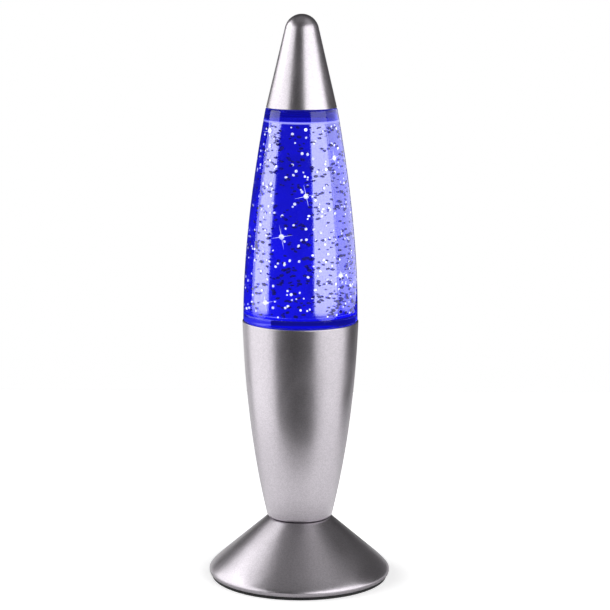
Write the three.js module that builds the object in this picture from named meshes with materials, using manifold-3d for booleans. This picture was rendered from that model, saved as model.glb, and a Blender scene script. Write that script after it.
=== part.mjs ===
// Rocket-shaped glitter lamp, in millimetres, +Z up, standing on z = 0 with its axis on x = y = 0.
// A cone base holds three cells, a vase body on it holds the lights and a motor with magnets,
// a clear bottle of liquid with a magnetic stirrer drops into the body's rim, and a pointed cap
// covers the bottle's neck.
import * as THREE from "three";
import { mergeVertices } from "three/addons/utils/BufferGeometryUtils.js";
import Module from "manifold-3d";

const wasm = await Module();
wasm.setup();

// ---- Clearances shared by all pieces ----
const TOUCH = 0.3; // between two pieces that rest on or fit in each other
const RUN = 0.35; // round a turning shaft
const THROUGH = 1; // how far a cutting shape runs past what it cuts

// ---- Facets round a full turn ----
const ROUND = 36; // shells
const MEDIUM = 24; // inner pieces
const SMALL = 12; // pins, magnets and lights
const FINE = 8; // screws
const WIRE_SIDES = 6;
const CELL_FACETS = 16;

// ---- Cells and their tray ----
const CELL_RADIUS = 7.25;
const CELL_LENGTH = 50.5; // with the button
const BUTTON_RADIUS = 2.75;
const BUTTON_LENGTH = 1;
const CELL_GAP = 0.7; // between neighbouring cells
const CELL_RAISE = 0.4; // above the bottom plate
const SPRING_LENGTH = 3;
const SPRING_RADIUS = 4.6;
const SPRING_TIP_RADIUS = 2.4;
const SPRING_WIRE = 0.4; // radius
const SPRING_TURNS = 2.5;
const CONTACT_THICKNESS = 0.5;
const CONTACT_WIDTH = 9;
const TRAY_PLAY = 0.4;
const TRAY_WALL = 1.2;

// ---- Base ----
const FOOT_HEIGHT = 1.5;
const FOOT_WIDTH = 9.9;
const PLATE_THICKNESS = 2;
const BASE_WALL = 1.5;
const BASE_TOP_WALL = 2;
const BASE_LEAN = 1.15; // radius lost for each mm up the cone
const RIM_CORNER = 5.6; // where the cone's line meets the rim's widest line
const RIM_WIDEST = 4.2;
const RIM_ROUND = 2.4;
const RIM_TUCK = 1.5; // how far the rim curls in down to its lower edge
const RIM_EDGE = 2; // its thickness there
const TRAY_ROOM = 1.15; // between the tray's shoulder and the cone's inner face
const WIRE_ROOM = 9.3; // between the tray and the lower nut
const TOP_ROUND = 1.4;

// ---- Screws ----
const SCREW_RADIUS = 1.25;
const SCREW_HEAD_RADIUS = 2.7;
const SCREW_HEAD_HEIGHT = 0.8;
const SCREW_PLAY = 0.35;
const SCREW_HEAD_EDGE = 0.3;
const SCREW_POINT = 1;
const BOSS_RADIUS = 3.2;
const PLATE_SCREW_REACH = 9;
const PLATE_SCREW_ANGLE = THREE.MathUtils.degToRad(60); // from the X axis
const FRAME_SCREW_REACH = 4.4;
const FRAME_SCREWS = 3;

// ---- Battery door ----
const DOOR_THICKNESS = 1.6;
const DOOR_PLAY = 0.3;
const DOOR_EDGE = 0.25; // how far the door's opening stays inside the tray
const LUG_LENGTH = 8.6;
const LUG_HALF_WIDTH = 4.6;
const LUG_THICKNESS = 0.9;
const DOOR_SCREW_REACH = 6;

// ---- Switch ----
const SWITCH_TRAVEL = 2.5;
const KNOB_WIDTH = 2.6;
const KNOB_LENGTH = 2.6;
const KNOB_PROUD = 0.6;
const CARRIAGE_WIDTH = 5.2;
const CARRIAGE_LENGTH = 6.4;
const CARRIAGE_HEIGHT = 2.4;
const HOUSING_WALL = 1.4;

// ---- Joint of base and body ----
const NECK_RADIUS = 5;
const NECK_BORE = 3.2;
const NUT_RADIUS = 9;
const NUT_HEIGHT = 4;
const NECK_PROUD = 1.5;

// ---- Body ----
const BODY_HEIGHT = 116.9;
const BODY_FOOT_RADIUS = 18.95;
const BODY_FOOT_LEAN = 0.24; // radius gained for each mm of height
const BODY_RIM_RADIUS = 33.75;
const BODY_RIM_LEAN = 0.035;
const BODY_FOOT_ROUND = 1.7;
const BODY_WALL = 1.9;
const BODY_FLOOR = 2.5;
const LEDGE_BELOW_RIM = 36.5;
const LEDGE_HEIGHT = 2.8;
const LEDGE_REACH = 10;

// ---- Bottle ----
const BOTTLE_HEIGHT = 122.8; // from the rim to the shoulder under the cap
const RIM_STEP = 0.5; // how far the bottle stays inside the body's rim
const BOTTLE_LEAN = 0;
const BOTTLE_TOP_RADIUS = 20.5;
const BOTTLE_TOP_LEAN = -0.18;
const BOTTLE_WALL = 1.8;
const BOTTLE_FLOOR = 5;
const BOTTLE_EDGE = 0.35;
const BOTTLE_FLOOR_ROUND = 1.5;
const FLOOR_SINK = 1.1; // floor's underside below the rim
const SKIRT_DEPTH = 10;
const SKIRT_WALL = 1.7;
const SKIRT_PLAY = 0.4;
const NECK_FINISH_RADIUS = 13.6;
const NECK_FINISH_HEIGHT = 11.1;
const NECK_FINISH_WALL = 2.3;
const AIR_ABOVE_LIQUID = 6.9;
const LIQUID_ROUND = 2;
const STOPPER_DEPTH = 7;
const STOPPER_FLANGE = 1.2;
const CLOSURE_WALL = 1.1;
const CLOSURE_RAISE = 2.6;
const CLOSURE_TOP = 1.5;
const CLOSURE_EDGE = 0.6;

// ---- Cap ----
const CAP_HEIGHT = 53;
const CAP_STEP = 0.2; // how far the cap's edge stays inside the bottle's shoulder
const CAP_ANGLE = THREE.MathUtils.degToRad(13.3); // half angle of the cone
const CAP_WALL = 1.4;
const LINER_HEIGHT = 7.5;

// ---- Carrier frame, lights and window ----
const FRAME_PLAY = 1.15; // inside the bottle's skirt
const FRAME_WALL = 1.8;
const FRAME_FLOOR = 2.4;
const FLANGE_PLAY = 0.4;
const WINDOW_THICKNESS = 2;
const WINDOW_GAP = 1; // under the bottle's floor
const BOARD_THICKNESS = 1.6;
const BOARD_BELOW_WINDOW = 16;
const BOARD_STEP = 1.7;
const LIGHTS = 4;
const LIGHT_RADIUS = 2.5;
const LIGHT_RIM = 0.4;
const LIGHT_RIM_HEIGHT = 1;
const LIGHT_HEIGHT = 8.5;

// ---- Motor and magnets ----
const MOTOR_RADIUS = 10;
const MOTOR_LENGTH = 23.9;
const MOTOR_NOSE_RADIUS = 3;
const MOTOR_NOSE = 1.5;
const NOSE_BELOW_BOARD = 1.3;
const SOCKET_WALL = 1.7;
const END_CAP_HEIGHT = 3;
const SHAFT_RADIUS = 1;
const SHAFT_IN_MOTOR = 7.5;
const HOLDER_HEIGHT = 6.5;
const HOLDER_BELOW_WINDOW = 2.5;
const HOLDER_HUB = 2.5;
const HOLDER_HUB_RADIUS = 3.5;
const MAGNET_RADIUS = 4;
const MAGNET_HEIGHT = 4;
const MAGNET_OFFSET = 8.5;
const HOLDER_EDGE = 1.2;

// ---- Stirrer ----
const PIN_RADIUS = 1.5;
const PIN_DEPTH = 2.2;
const PIN_COLLAR = 0.6;
const PIN_COLLAR_WIDTH = 1.1;
const PIN_PROUD = 1.2; // above the wheel
const WHEEL_DISC = 4.5;
const WHEEL_VANE = 4.3;
const WHEEL_HUB = 4;
const VANES = 4;
const VANE_THICKNESS = 1.6;
const VANE_INSET = 1; // from the wheel's edge
const VANE_STEP = 0.5; // below the hub's top
const VANE_SINK = 1; // how far a vane runs into the hub and the disc
const STIR_MAGNET_RADIUS = 3;
const STIR_MAGNET_HEIGHT = 3;
const STIR_MAGNET_RAISE = 0.2; // above the wheel's underside
const WHEEL_EDGE = 1.7;
const STIR_ROOM = 1.6; // liquid kept clear round the wheel

// ---- Leads ----
const LEAD_RADIUS = 0.7;
const LEAD_SPACING = 1.9;
const LEAD_OFFSET = 16; // where a lead passes the frame's floor
const LEAD_HOLE_RADIUS = 1.4;
const LEAD_RISE = 2.55; // straight up from the tray
const LEAD_BEND_OFFSET = 7.2; // where a lead leans outwards above the neck
const LEAD_BEND_RISE = 20.7; // above the neck
const LEAD_BELOW_MOTOR = 6; // where a lead is fully out to the side

// ---- Heights that follow ----
const plateLow = FOOT_HEIGHT + TOUCH;
const plateTop = plateLow + PLATE_THICKNESS;
const cellAxis = plateTop + CELL_RAISE + CELL_RADIUS;
const trayLow = plateTop + TOUCH;
const trayRound = CELL_RADIUS + TRAY_PLAY + TRAY_WALL;
const trayTop = cellAxis + trayRound;
const lowerNutLow = trayTop + WIRE_ROOM;
const baseCeiling = lowerNutLow + NUT_HEIGHT + TOUCH;
const baseTop = baseCeiling + BASE_TOP_WALL;
const bodyLow = baseTop + TOUCH;
const bodyFloorTop = bodyLow + BODY_FLOOR;
const rimTop = bodyLow + BODY_HEIGHT;
const ledgeTop = rimTop - LEDGE_BELOW_RIM;
const bottleLow = rimTop + TOUCH;
const bottleShoulder = bottleLow + BOTTLE_HEIGHT;
const floorUnder = bottleLow - FLOOR_SINK;
const floorTop = floorUnder + BOTTLE_FLOOR;
const liquidTop = bottleShoulder - AIR_ABOVE_LIQUID;
const neckTop = bottleShoulder + NECK_FINISH_HEIGHT;
const capLow = bottleShoulder + TOUCH;
const windowLow = floorUnder - WINDOW_GAP - WINDOW_THICKNESS;
const boardLow = windowLow - BOARD_BELOW_WINDOW;
const boardTop = boardLow + BOARD_THICKNESS;
const frameLow = ledgeTop + TOUCH;
const frameFloorTop = frameLow + FRAME_FLOOR;
const motorTop = boardLow - NOSE_BELOW_BOARD - MOTOR_NOSE;
const motorLow = motorTop - MOTOR_LENGTH;
const holderTop = windowLow - HOLDER_BELOW_WINDOW;
const holderLow = holderTop - HOLDER_HEIGHT;

// ---- Radii and lengths that follow ----
const cellPitch = 2 * CELL_RADIUS + CELL_GAP;
const trayHalfWidth = cellPitch + trayRound;
const bayHalfLength = (CELL_LENGTH + SPRING_LENGTH + CONTACT_THICKNESS + 4 * TOUCH) / 2;
const trayHalfLength = bayHalfLength + TRAY_WALL;
const shoulderX = cellPitch + trayRound * Math.SQRT1_2;
const shoulderZ = cellAxis + trayRound * Math.SQRT1_2;
const baseWallSide = BASE_WALL * Math.hypot(1, BASE_LEAN); // the cone's wall, measured level
const coneRadius = (z) =>
  Math.hypot(shoulderX, trayHalfLength) + TRAY_ROOM + baseWallSide + BASE_LEAN * (shoulderZ - z);
const coneHeight = (radius) => shoulderZ + (coneRadius(shoulderZ) - radius) / BASE_LEAN;
const rimRadius = coneRadius(RIM_CORNER);
const rimInner = rimRadius - baseWallSide;
const rimFoot = rimRadius - RIM_TUCK;
const openingRadius = rimFoot - RIM_EDGE;
const plateRadius = openingRadius - TOUCH;
const footOuter = rimFoot; // the ring reaches under the rim
const openingHalfWidth = trayHalfWidth - TRAY_WALL - DOOR_EDGE;
const openingHalfLength = bayHalfLength - DOOR_EDGE;
const plateScrewCircle = footOuter - FOOT_WIDTH - SCREW_HEAD_RADIUS - SCREW_PLAY - TOUCH;
const plateScrewX = plateScrewCircle * Math.cos(PLATE_SCREW_ANGLE);
const plateScrewY = plateScrewCircle * Math.sin(PLATE_SCREW_ANGLE);
const plateScrewPlaces = [
  [plateScrewX, plateScrewY],
  [-plateScrewX, plateScrewY],
  [-plateScrewX, -plateScrewY],
  [plateScrewX, -plateScrewY],
];
const doorScrewY = trayHalfLength + BOSS_RADIUS + TOUCH;
const neckHole = NECK_RADIUS + TOUCH;
const switchX = trayHalfWidth + TOUCH * 2 + HOUSING_WALL + TOUCH + CARRIAGE_WIDTH / 2;

const bottleRadius = BODY_RIM_RADIUS - RIM_STEP;
const capEdgeRadius = BOTTLE_TOP_RADIUS - CAP_STEP;
const skirtOuter = bodyRadius(bottleLow - SKIRT_DEPTH) - BODY_WALL - SKIRT_PLAY;
const skirtInner = skirtOuter - SKIRT_WALL;
const frameOuter = skirtInner - FRAME_PLAY;
const frameInner = frameOuter - FRAME_WALL;
const flangeRadius = bodyRadius(frameLow) - BODY_WALL - FLANGE_PLAY;
const socketInner = MOTOR_RADIUS + TOUCH;
const socketOuter = socketInner + SOCKET_WALL;
const noseHole = MOTOR_NOSE_RADIUS + TOUCH;
const holderRadius = MAGNET_OFFSET + MAGNET_RADIUS + TOUCH + HOLDER_EDGE;
const lightCircle = (holderRadius + frameInner) / 2;
const frameScrewCircle = frameInner - SCREW_HEAD_RADIUS - TOUCH * 4;
const neckInner = NECK_FINISH_RADIUS - NECK_FINISH_WALL;
const closureInner = NECK_FINISH_RADIUS + TOUCH;
const closureOuter = closureInner + CLOSURE_WALL;
const closureLow = bottleShoulder + CLOSURE_RAISE;
const closureCeiling = neckTop + TOUCH + STOPPER_FLANGE + TOUCH;
const closureTop = closureCeiling + CLOSURE_TOP;
const wheelLow = floorTop + TOUCH + PIN_COLLAR + TOUCH;
const wheelDiscTop = wheelLow + WHEEL_DISC;
const wheelTop = wheelDiscTop + WHEEL_VANE;
const wheelRadius = MAGNET_OFFSET + STIR_MAGNET_RADIUS + TOUCH + WHEEL_EDGE;
const pinTop = wheelTop + PIN_PROUD;

// ---- Looks ----
const SILVER = { color: 0xb9b6ba, roughness: 0.34, metalness: 0.85 };
const BLACK_PLASTIC = { color: 0x16161a, roughness: 0.6, metalness: 0 };
const BLACK_RUBBER = { color: 0x101013, roughness: 0.85, metalness: 0 };
const WHITE_PLASTIC = { color: 0xe9e9e6, roughness: 0.5, metalness: 0 };
const STEEL = { color: 0xb4b6b8, roughness: 0.3, metalness: 1 };
const BRASS = { color: 0xc9a45a, roughness: 0.3, metalness: 1 };
const MAGNET = { color: 0x9a9ca2, roughness: 0.2, metalness: 1 };
const CELL_SLEEVE = { color: 0x2b6f57, roughness: 0.35, metalness: 0.1 };
const BOARD_GREEN = { color: 0x1c5b34, roughness: 0.5, metalness: 0 };
const LAMP_BLUE = { color: 0x3a4cff, roughness: 0.15, metalness: 0, emissive: 0x2030ff };
const CLEAR = { color: 0xdfe6ff, roughness: 0.04, metalness: 0, transparent: true, opacity: 0.3 };
const LIQUID = { color: 0x2a22e6, roughness: 0.05, metalness: 0, transparent: true, opacity: 0.5 };
const RED_LEAD = { color: 0xb3201c, roughness: 0.5, metalness: 0 };
const BLACK_LEAD = { color: 0x18181b, roughness: 0.5, metalness: 0 };

// ---- Outlines ----

// A smooth side between two heights, with its own lean at each end.
function sideCurve(lowZ, lowRadius, lowLean, highZ, highRadius, highLean) {
  const third = (highZ - lowZ) / 3;
  return new THREE.CubicBezierCurve(
    new THREE.Vector2(lowRadius, lowZ),
    new THREE.Vector2(lowRadius + lowLean * third, lowZ + third),
    new THREE.Vector2(highRadius - highLean * third, highZ - third),
    new THREE.Vector2(highRadius, highZ),
  );
}

function radiusAt(curve, z) {
  return curve.getPoint((z - curve.v0.y) / (curve.v3.y - curve.v0.y)).x;
}

function bodyCurve() {
  return sideCurve(
    bodyLow,
    BODY_FOOT_RADIUS,
    BODY_FOOT_LEAN,
    rimTop,
    BODY_RIM_RADIUS,
    BODY_RIM_LEAN,
  );
}

function bodyRadius(z) {
  return radiusAt(bodyCurve(), z);
}

function bottleCurve() {
  return sideCurve(
    bottleLow,
    bottleRadius,
    BOTTLE_LEAN,
    bottleShoulder,
    BOTTLE_TOP_RADIUS,
    BOTTLE_TOP_LEAN,
  );
}

// Points on a side between two heights, going from the first to the second, moved in by `inset`.
function sidePoints(curve, fromZ, toZ, steps, inset = 0) {
  const points = [];
  for (let i = 0; i <= steps; i++) {
    const z = fromZ + ((toZ - fromZ) * i) / steps;
    points.push([radiusAt(curve, z) - inset, z]);
  }
  return points;
}

// A rounded corner: points of the curve that leaves `from` and reaches `to`, bending at `corner`.
function roundCorner(from, corner, to, steps) {
  const bend = new THREE.QuadraticBezierCurve(
    new THREE.Vector2(...from),
    new THREE.Vector2(...corner),
    new THREE.Vector2(...to),
  );
  return bend.getPoints(steps).map((p) => [p.x, p.y]);
}

// ---- Solids ----

// Turns an outline of [radius, height] pairs about the Z axis. The outline runs anticlockwise.
function turned(outline, facets = MEDIUM) {
  const points = outline.map(([radius, height]) => new THREE.Vector2(radius, height));
  return new THREE.LatheGeometry(points, facets).rotateX(Math.PI / 2);
}

// The same for an outline off the axis, which is closed on itself.
function turnedRing(outline, facets = MEDIUM) {
  return turned([...outline, outline[0]], facets);
}

function disc(radius, low, high, facets = SMALL) {
  return turned([[0, low], [radius, low], [radius, high], [0, high]], facets);
}

function ring(inner, outer, low, high, facets = MEDIUM) {
  return turnedRing([[inner, low], [outer, low], [outer, high], [inner, high]], facets);
}

// A box between two corners.
function block(low, high) {
  const size = high.map((value, i) => value - low[i]);
  const middle = high.map((value, i) => (value + low[i]) / 2);
  return new THREE.BoxGeometry(...size).translate(...middle);
}

function asSolid(geometry) {
  const bare = geometry.index ? geometry.toNonIndexed() : geometry.clone();
  bare.deleteAttribute("normal");
  bare.deleteAttribute("uv");
  const merged = mergeVertices(bare, 1e-4);
  const corners = merged.index.array;
  const faces = [];
  for (let i = 0; i < corners.length; i += 3) {
    const [a, b, c] = corners.slice(i, i + 3);
    if (a !== b && b !== c && c !== a) faces.push(a, b, c);
  }
  return new wasm.Manifold(
    new wasm.Mesh({
      numProp: 3,
      vertProperties: merged.attributes.position.array,
      triVerts: new Uint32Array(faces),
    }),
  );
}

function asGeometry(solid) {
  const mesh = solid.getMesh();
  const geometry = new THREE.BufferGeometry();
  geometry.setAttribute("position", new THREE.BufferAttribute(mesh.vertProperties, 3));
  geometry.setIndex(new THREE.BufferAttribute(mesh.triVerts, 1));
  geometry.computeVertexNormals();
  return geometry;
}

// One solid made of a first shape, with others joined to it and then others cut from it.
function shaped(first, joined, cuts) {
  let solid = asSolid(first);
  for (const extra of joined) solid = solid.add(asSolid(extra));
  for (const cut of cuts) solid = solid.subtract(asSolid(cut));
  return asGeometry(solid);
}

// A wire along a path.
function wire(path, radius, steps) {
  const corners = roundTheAxis(WIRE_SIDES, radius).map(([x, y]) => new THREE.Vector2(x, y));
  return new THREE.ExtrudeGeometry(new THREE.Shape(corners), {
    steps,
    bevelEnabled: false,
    extrudePath: path,
  });
}

// Places evenly spaced round the axis, as [x, y] pairs.
function roundTheAxis(count, radius, firstAngle = 0) {
  const places = [];
  for (let i = 0; i < count; i++) {
    const angle = firstAngle + (i * 2 * Math.PI) / count;
    places.push([radius * Math.cos(angle), radius * Math.sin(angle)]);
  }
  return places;
}

function piece(group, name, geometry, look, place = [0, 0, 0]) {
  const mesh = new THREE.Mesh(geometry, new THREE.MeshStandardMaterial(look));
  mesh.name = name;
  mesh.position.set(...place);
  group.add(mesh);
  return mesh;
}

// A pan-head screw standing on its head, with the head's face at height 0.
function screw(reach) {
  const shoulder = SCREW_HEAD_HEIGHT;
  return turned(
    [
      [0, 0],
      [SCREW_HEAD_RADIUS - SCREW_HEAD_EDGE, 0],
      [SCREW_HEAD_RADIUS, SCREW_HEAD_EDGE],
      [SCREW_HEAD_RADIUS, shoulder],
      [SCREW_RADIUS, shoulder],
      [SCREW_RADIUS, shoulder + reach - SCREW_POINT],
      [0, shoulder + reach],
    ],
    FINE,
  );
}

// ---- Base ----

function baseShell() {
  const rimEdge = [rimFoot, plateLow];
  const rimWidest = [rimRadius, RIM_WIDEST];
  const rimEnd = [coneRadius(RIM_CORNER + RIM_ROUND), RIM_CORNER + RIM_ROUND];
  const topStart = [coneRadius(baseTop - TOP_ROUND), baseTop - TOP_ROUND];
  const topCorner = [coneRadius(baseTop), baseTop];
  const topEnd = [coneRadius(baseTop) - TOP_ROUND, baseTop];
  const outline = [
    [openingRadius, plateLow],
    ...roundCorner(rimEdge, [rimRadius, plateLow], rimWidest, 3),
    ...roundCorner(rimWidest, [rimRadius, RIM_CORNER], rimEnd, 3).slice(1),
    ...roundCorner(topStart, topCorner, topEnd, 3),
    [neckHole, baseTop],
    [neckHole, baseCeiling],
    [coneRadius(baseCeiling) - baseWallSide, baseCeiling],
    [rimInner, coneHeight(rimInner + baseWallSide)],
    [rimInner, plateTop + TOUCH],
    [openingRadius, plateTop + TOUCH],
  ];
  const middleOfWall = baseWallSide / 2;
  const insideWall = asSolid(
    turned(
      [
        [0, trayLow],
        [rimRadius - middleOfWall, trayLow],
        [rimRadius - middleOfWall, RIM_CORNER],
        [coneRadius(baseCeiling) - middleOfWall, baseCeiling],
        [0, baseCeiling],
      ],
      ROUND,
    ),
  );
  let shell = asSolid(turnedRing(outline, ROUND));
  for (const [x, y] of plateScrewPlaces) {
    const post = disc(BOSS_RADIUS, trayLow, baseCeiling).translate(x, y, 0);
    shell = shell.add(asSolid(post).intersect(insideWall));
  }
  const holeRadius = SCREW_RADIUS + SCREW_PLAY;
  const holeTop = trayLow + PLATE_SCREW_REACH;
  for (const [x, y] of plateScrewPlaces) {
    const hole = disc(holeRadius, trayLow - THROUGH, holeTop).translate(x, y, 0);
    shell = shell.subtract(asSolid(hole));
  }
  return asGeometry(shell);
}

function basePlate() {
  const holeRadius = SCREW_RADIUS + SCREW_PLAY;
  const headHole = SCREW_HEAD_RADIUS + SCREW_PLAY;
  const headDepth = SCREW_HEAD_HEIGHT + TOUCH;
  const bossTop = plateTop + DOOR_SCREW_REACH;
  const lugEnd = openingHalfLength + LUG_LENGTH + DOOR_PLAY;
  const lugSide = LUG_HALF_WIDTH + DOOR_PLAY;
  const slotHalfLength = (KNOB_LENGTH + SWITCH_TRAVEL) / 2 + TOUCH;
  const slotHalfWidth = KNOB_WIDTH / 2 + TOUCH;
  const under = plateLow - THROUGH;
  const cuts = [
    block(
      [-openingHalfWidth, -openingHalfLength, under],
      [openingHalfWidth, openingHalfLength, plateTop + THROUGH],
    ),
    block(
      [-lugSide, openingHalfLength - THROUGH, under],
      [lugSide, lugEnd, plateLow + LUG_THICKNESS + TOUCH],
    ),
    disc(holeRadius, under, bossTop + THROUGH).translate(0, doorScrewY, 0),
    block(
      [switchX - slotHalfWidth, -slotHalfLength, under],
      [switchX + slotHalfWidth, slotHalfLength, plateTop + THROUGH],
    ),
  ];
  for (const [x, y] of plateScrewPlaces) {
    cuts.push(disc(headHole, under, plateLow + headDepth).translate(x, y, 0));
    cuts.push(disc(holeRadius, under, plateTop + THROUGH).translate(x, y, 0));
  }
  const boss = disc(BOSS_RADIUS, plateLow + LUG_THICKNESS + TOUCH, bossTop);
  boss.translate(0, doorScrewY, 0);
  return shaped(disc(plateRadius, plateLow, plateTop, ROUND), [boss], cuts);
}

function makeBase() {
  const group = new THREE.Group();
  const foot = ring(footOuter - FOOT_WIDTH, footOuter, 0, FOOT_HEIGHT, ROUND);
  piece(group, "foot_ring", foot, BLACK_RUBBER);
  piece(group, "base_shell", baseShell(), SILVER);
  piece(group, "base_plate", basePlate(), BLACK_PLASTIC);
  plateScrewPlaces.forEach(([x, y], i) => {
    const reach = PLATE_SCREW_REACH - SCREW_HEAD_HEIGHT;
    piece(group, `plate_screw_${i + 1}`, screw(reach), STEEL, [x, y, plateLow]);
  });
  return group;
}

// ---- Battery tray ----

// The arched section of the tray, across the cells, grown by `grow` from the cells' own rounds.
function traySection(grow, low) {
  const radius = CELL_RADIUS + grow;
  const section = new THREE.Shape();
  section.moveTo(-cellPitch - radius, low);
  section.lineTo(cellPitch + radius, low);
  section.absarc(cellPitch, cellAxis, radius, 0, Math.PI / 2);
  section.absarc(-cellPitch, cellAxis, radius, Math.PI / 2, Math.PI);
  return section;
}

function alongCells(section, halfLength) {
  const extruded = new THREE.ExtrudeGeometry(section, {
    depth: 2 * halfLength,
    curveSegments: 5,
    bevelEnabled: false,
  });
  return extruded.rotateX(Math.PI / 2).translate(0, halfLength, 0);
}

function batteryTray() {
  const outer = alongCells(traySection(TRAY_PLAY + TRAY_WALL, trayLow), trayHalfLength);
  const hollow = alongCells(traySection(TRAY_PLAY, trayLow - THROUGH), bayHalfLength);
  return shaped(outer, [], [hollow]);
}

function cell() {
  const shoulder = CELL_LENGTH - BUTTON_LENGTH;
  return turned(
    [
      [0, 0],
      [CELL_RADIUS, 0],
      [CELL_RADIUS, shoulder],
      [BUTTON_RADIUS, shoulder],
      [BUTTON_RADIUS, CELL_LENGTH],
      [0, CELL_LENGTH],
    ],
    CELL_FACETS,
  );
}

// A coil that narrows from its fixed end towards the cell.
class ConeCoil extends THREE.Curve {
  getPoint(t, target = new THREE.Vector3()) {
    const angle = t * SPRING_TURNS * 2 * Math.PI;
    const radius = SPRING_RADIUS + (SPRING_TIP_RADIUS - SPRING_RADIUS) * t;
    const height = SPRING_WIRE + t * (SPRING_LENGTH - 2 * SPRING_WIRE);
    return target.set(radius * Math.cos(angle), radius * Math.sin(angle), height);
  }
}

function makeBatteryPack() {
  const group = new THREE.Group();
  piece(group, "battery_tray", batteryTray(), BLACK_PLASTIC);
  ["left", "middle", "right"].forEach((side, i) => {
    // Each cell lies the other way round from its neighbour, so that they are in series.
    const turn = i % 2 === 0 ? 1 : -1;
    const bay = new THREE.Group();
    bay.position.set((i - 1) * cellPitch, 0, cellAxis);
    bay.rotation.set((-turn * Math.PI) / 2, 0, 0);
    group.add(bay);
    const springEnd = -bayHalfLength + TOUCH;
    const cellEnd = springEnd + SPRING_LENGTH + TOUCH;
    const contactEnd = cellEnd + CELL_LENGTH + TOUCH;
    const half = CONTACT_WIDTH / 2;
    const plate = block([-half, -half, 0], [half, half, CONTACT_THICKNESS]);
    piece(bay, `spring_${side}`, wire(new ConeCoil(), SPRING_WIRE, 24), STEEL, [0, 0, springEnd]);
    piece(bay, `cell_${side}`, cell(), CELL_SLEEVE, [0, 0, cellEnd]);
    piece(bay, `contact_${side}`, plate, BRASS, [0, 0, contactEnd]);
  });
  return group;
}

// ---- Battery door and switch ----

function makeDoor() {
  const group = new THREE.Group();
  const halfWidth = openingHalfWidth - DOOR_PLAY;
  const halfLength = openingHalfLength - DOOR_PLAY;
  const panel = block(
    [-halfWidth, -halfLength, plateLow],
    [halfWidth, halfLength, plateLow + DOOR_THICKNESS],
  );
  const lug = block(
    [-LUG_HALF_WIDTH, halfLength - THROUGH, plateLow],
    [LUG_HALF_WIDTH, openingHalfLength + LUG_LENGTH, plateLow + LUG_THICKNESS],
  );
  const hole = disc(SCREW_RADIUS + SCREW_PLAY, plateLow - THROUGH, plateTop + THROUGH);
  hole.translate(0, doorScrewY, 0);
  const headZ = FOOT_HEIGHT + TOUCH - SCREW_HEAD_HEIGHT - TOUCH;
  const reach = DOOR_SCREW_REACH + SCREW_HEAD_HEIGHT;
  piece(group, "battery_door", shaped(panel, [lug], [hole]), BLACK_PLASTIC);
  piece(group, "door_screw", screw(reach), STEEL, [0, doorScrewY, headZ]);
  return group;
}

// The switch is on at rest, with its knob at the near end of the slot.
const knobFrom = -(KNOB_LENGTH + SWITCH_TRAVEL) / 2;
const carriageLow = plateTop + TOUCH * 2;

function switchHousing() {
  const pocketX = CARRIAGE_WIDTH / 2 + TOUCH;
  const pocketY = (CARRIAGE_LENGTH + SWITCH_TRAVEL) / 2 + TOUCH;
  const pocketTop = carriageLow + CARRIAGE_HEIGHT + TOUCH;
  const outer = block(
    [switchX - pocketX - HOUSING_WALL, -pocketY - HOUSING_WALL, plateTop + TOUCH],
    [switchX + pocketX + HOUSING_WALL, pocketY + HOUSING_WALL, pocketTop + HOUSING_WALL],
  );
  const pocket = block(
    [switchX - pocketX, -pocketY, plateTop - THROUGH],
    [switchX + pocketX, pocketY, pocketTop],
  );
  return shaped(outer, [], [pocket]);
}

function switchSlider() {
  const knobMiddle = knobFrom + KNOB_LENGTH / 2;
  const carriage = block(
    [switchX - CARRIAGE_WIDTH / 2, knobMiddle - CARRIAGE_LENGTH / 2, carriageLow],
    [switchX + CARRIAGE_WIDTH / 2, knobMiddle + CARRIAGE_LENGTH / 2, carriageLow + CARRIAGE_HEIGHT],
  );
  const knob = block(
    [switchX - KNOB_WIDTH / 2, knobFrom, plateLow - KNOB_PROUD],
    [switchX + KNOB_WIDTH / 2, knobFrom + KNOB_LENGTH, carriageLow + THROUGH],
  );
  return shaped(carriage, [knob], []);
}

function makeSwitch() {
  const group = new THREE.Group();
  piece(group, "switch_housing", switchHousing(), BLACK_PLASTIC);
  piece(group, "switch_slider", switchSlider(), WHITE_PLASTIC);
  return group;
}

// ---- Body and its joint to the base ----

function bodyShell() {
  const side = bodyCurve();
  const footTop = bodyLow + BODY_FOOT_ROUND;
  const ledgeLow = ledgeTop - LEDGE_HEIGHT;
  const ledgeInner = radiusAt(side, ledgeTop) - BODY_WALL - LEDGE_REACH;
  const footCorner = roundCorner(
    [BODY_FOOT_RADIUS - BODY_FOOT_ROUND, bodyLow],
    [BODY_FOOT_RADIUS, bodyLow],
    [radiusAt(side, footTop), footTop],
    2,
  );
  const outline = [
    [neckHole, bodyLow],
    ...footCorner,
    ...sidePoints(side, footTop, rimTop, 7).slice(1),
    ...sidePoints(side, rimTop, ledgeTop, 2, BODY_WALL),
    [ledgeInner, ledgeTop],
    [ledgeInner, ledgeLow],
    ...sidePoints(side, ledgeLow, bodyFloorTop, 4, BODY_WALL),
    [neckHole, bodyFloorTop],
  ];
  const holes = roundTheAxis(FRAME_SCREWS, frameScrewCircle, Math.PI / 2).map(([x, y]) =>
    disc(SCREW_RADIUS + SCREW_PLAY, ledgeLow - THROUGH, ledgeTop + THROUGH).translate(x, y, 0),
  );
  return shaped(turnedRing(outline, ROUND), [], holes);
}

function hexNut(low) {
  const nut = disc(NUT_RADIUS, low, low + NUT_HEIGHT, 6);
  return shaped(nut, [], [disc(neckHole, low - THROUGH, low + NUT_HEIGHT + THROUGH, MEDIUM)]);
}

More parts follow.
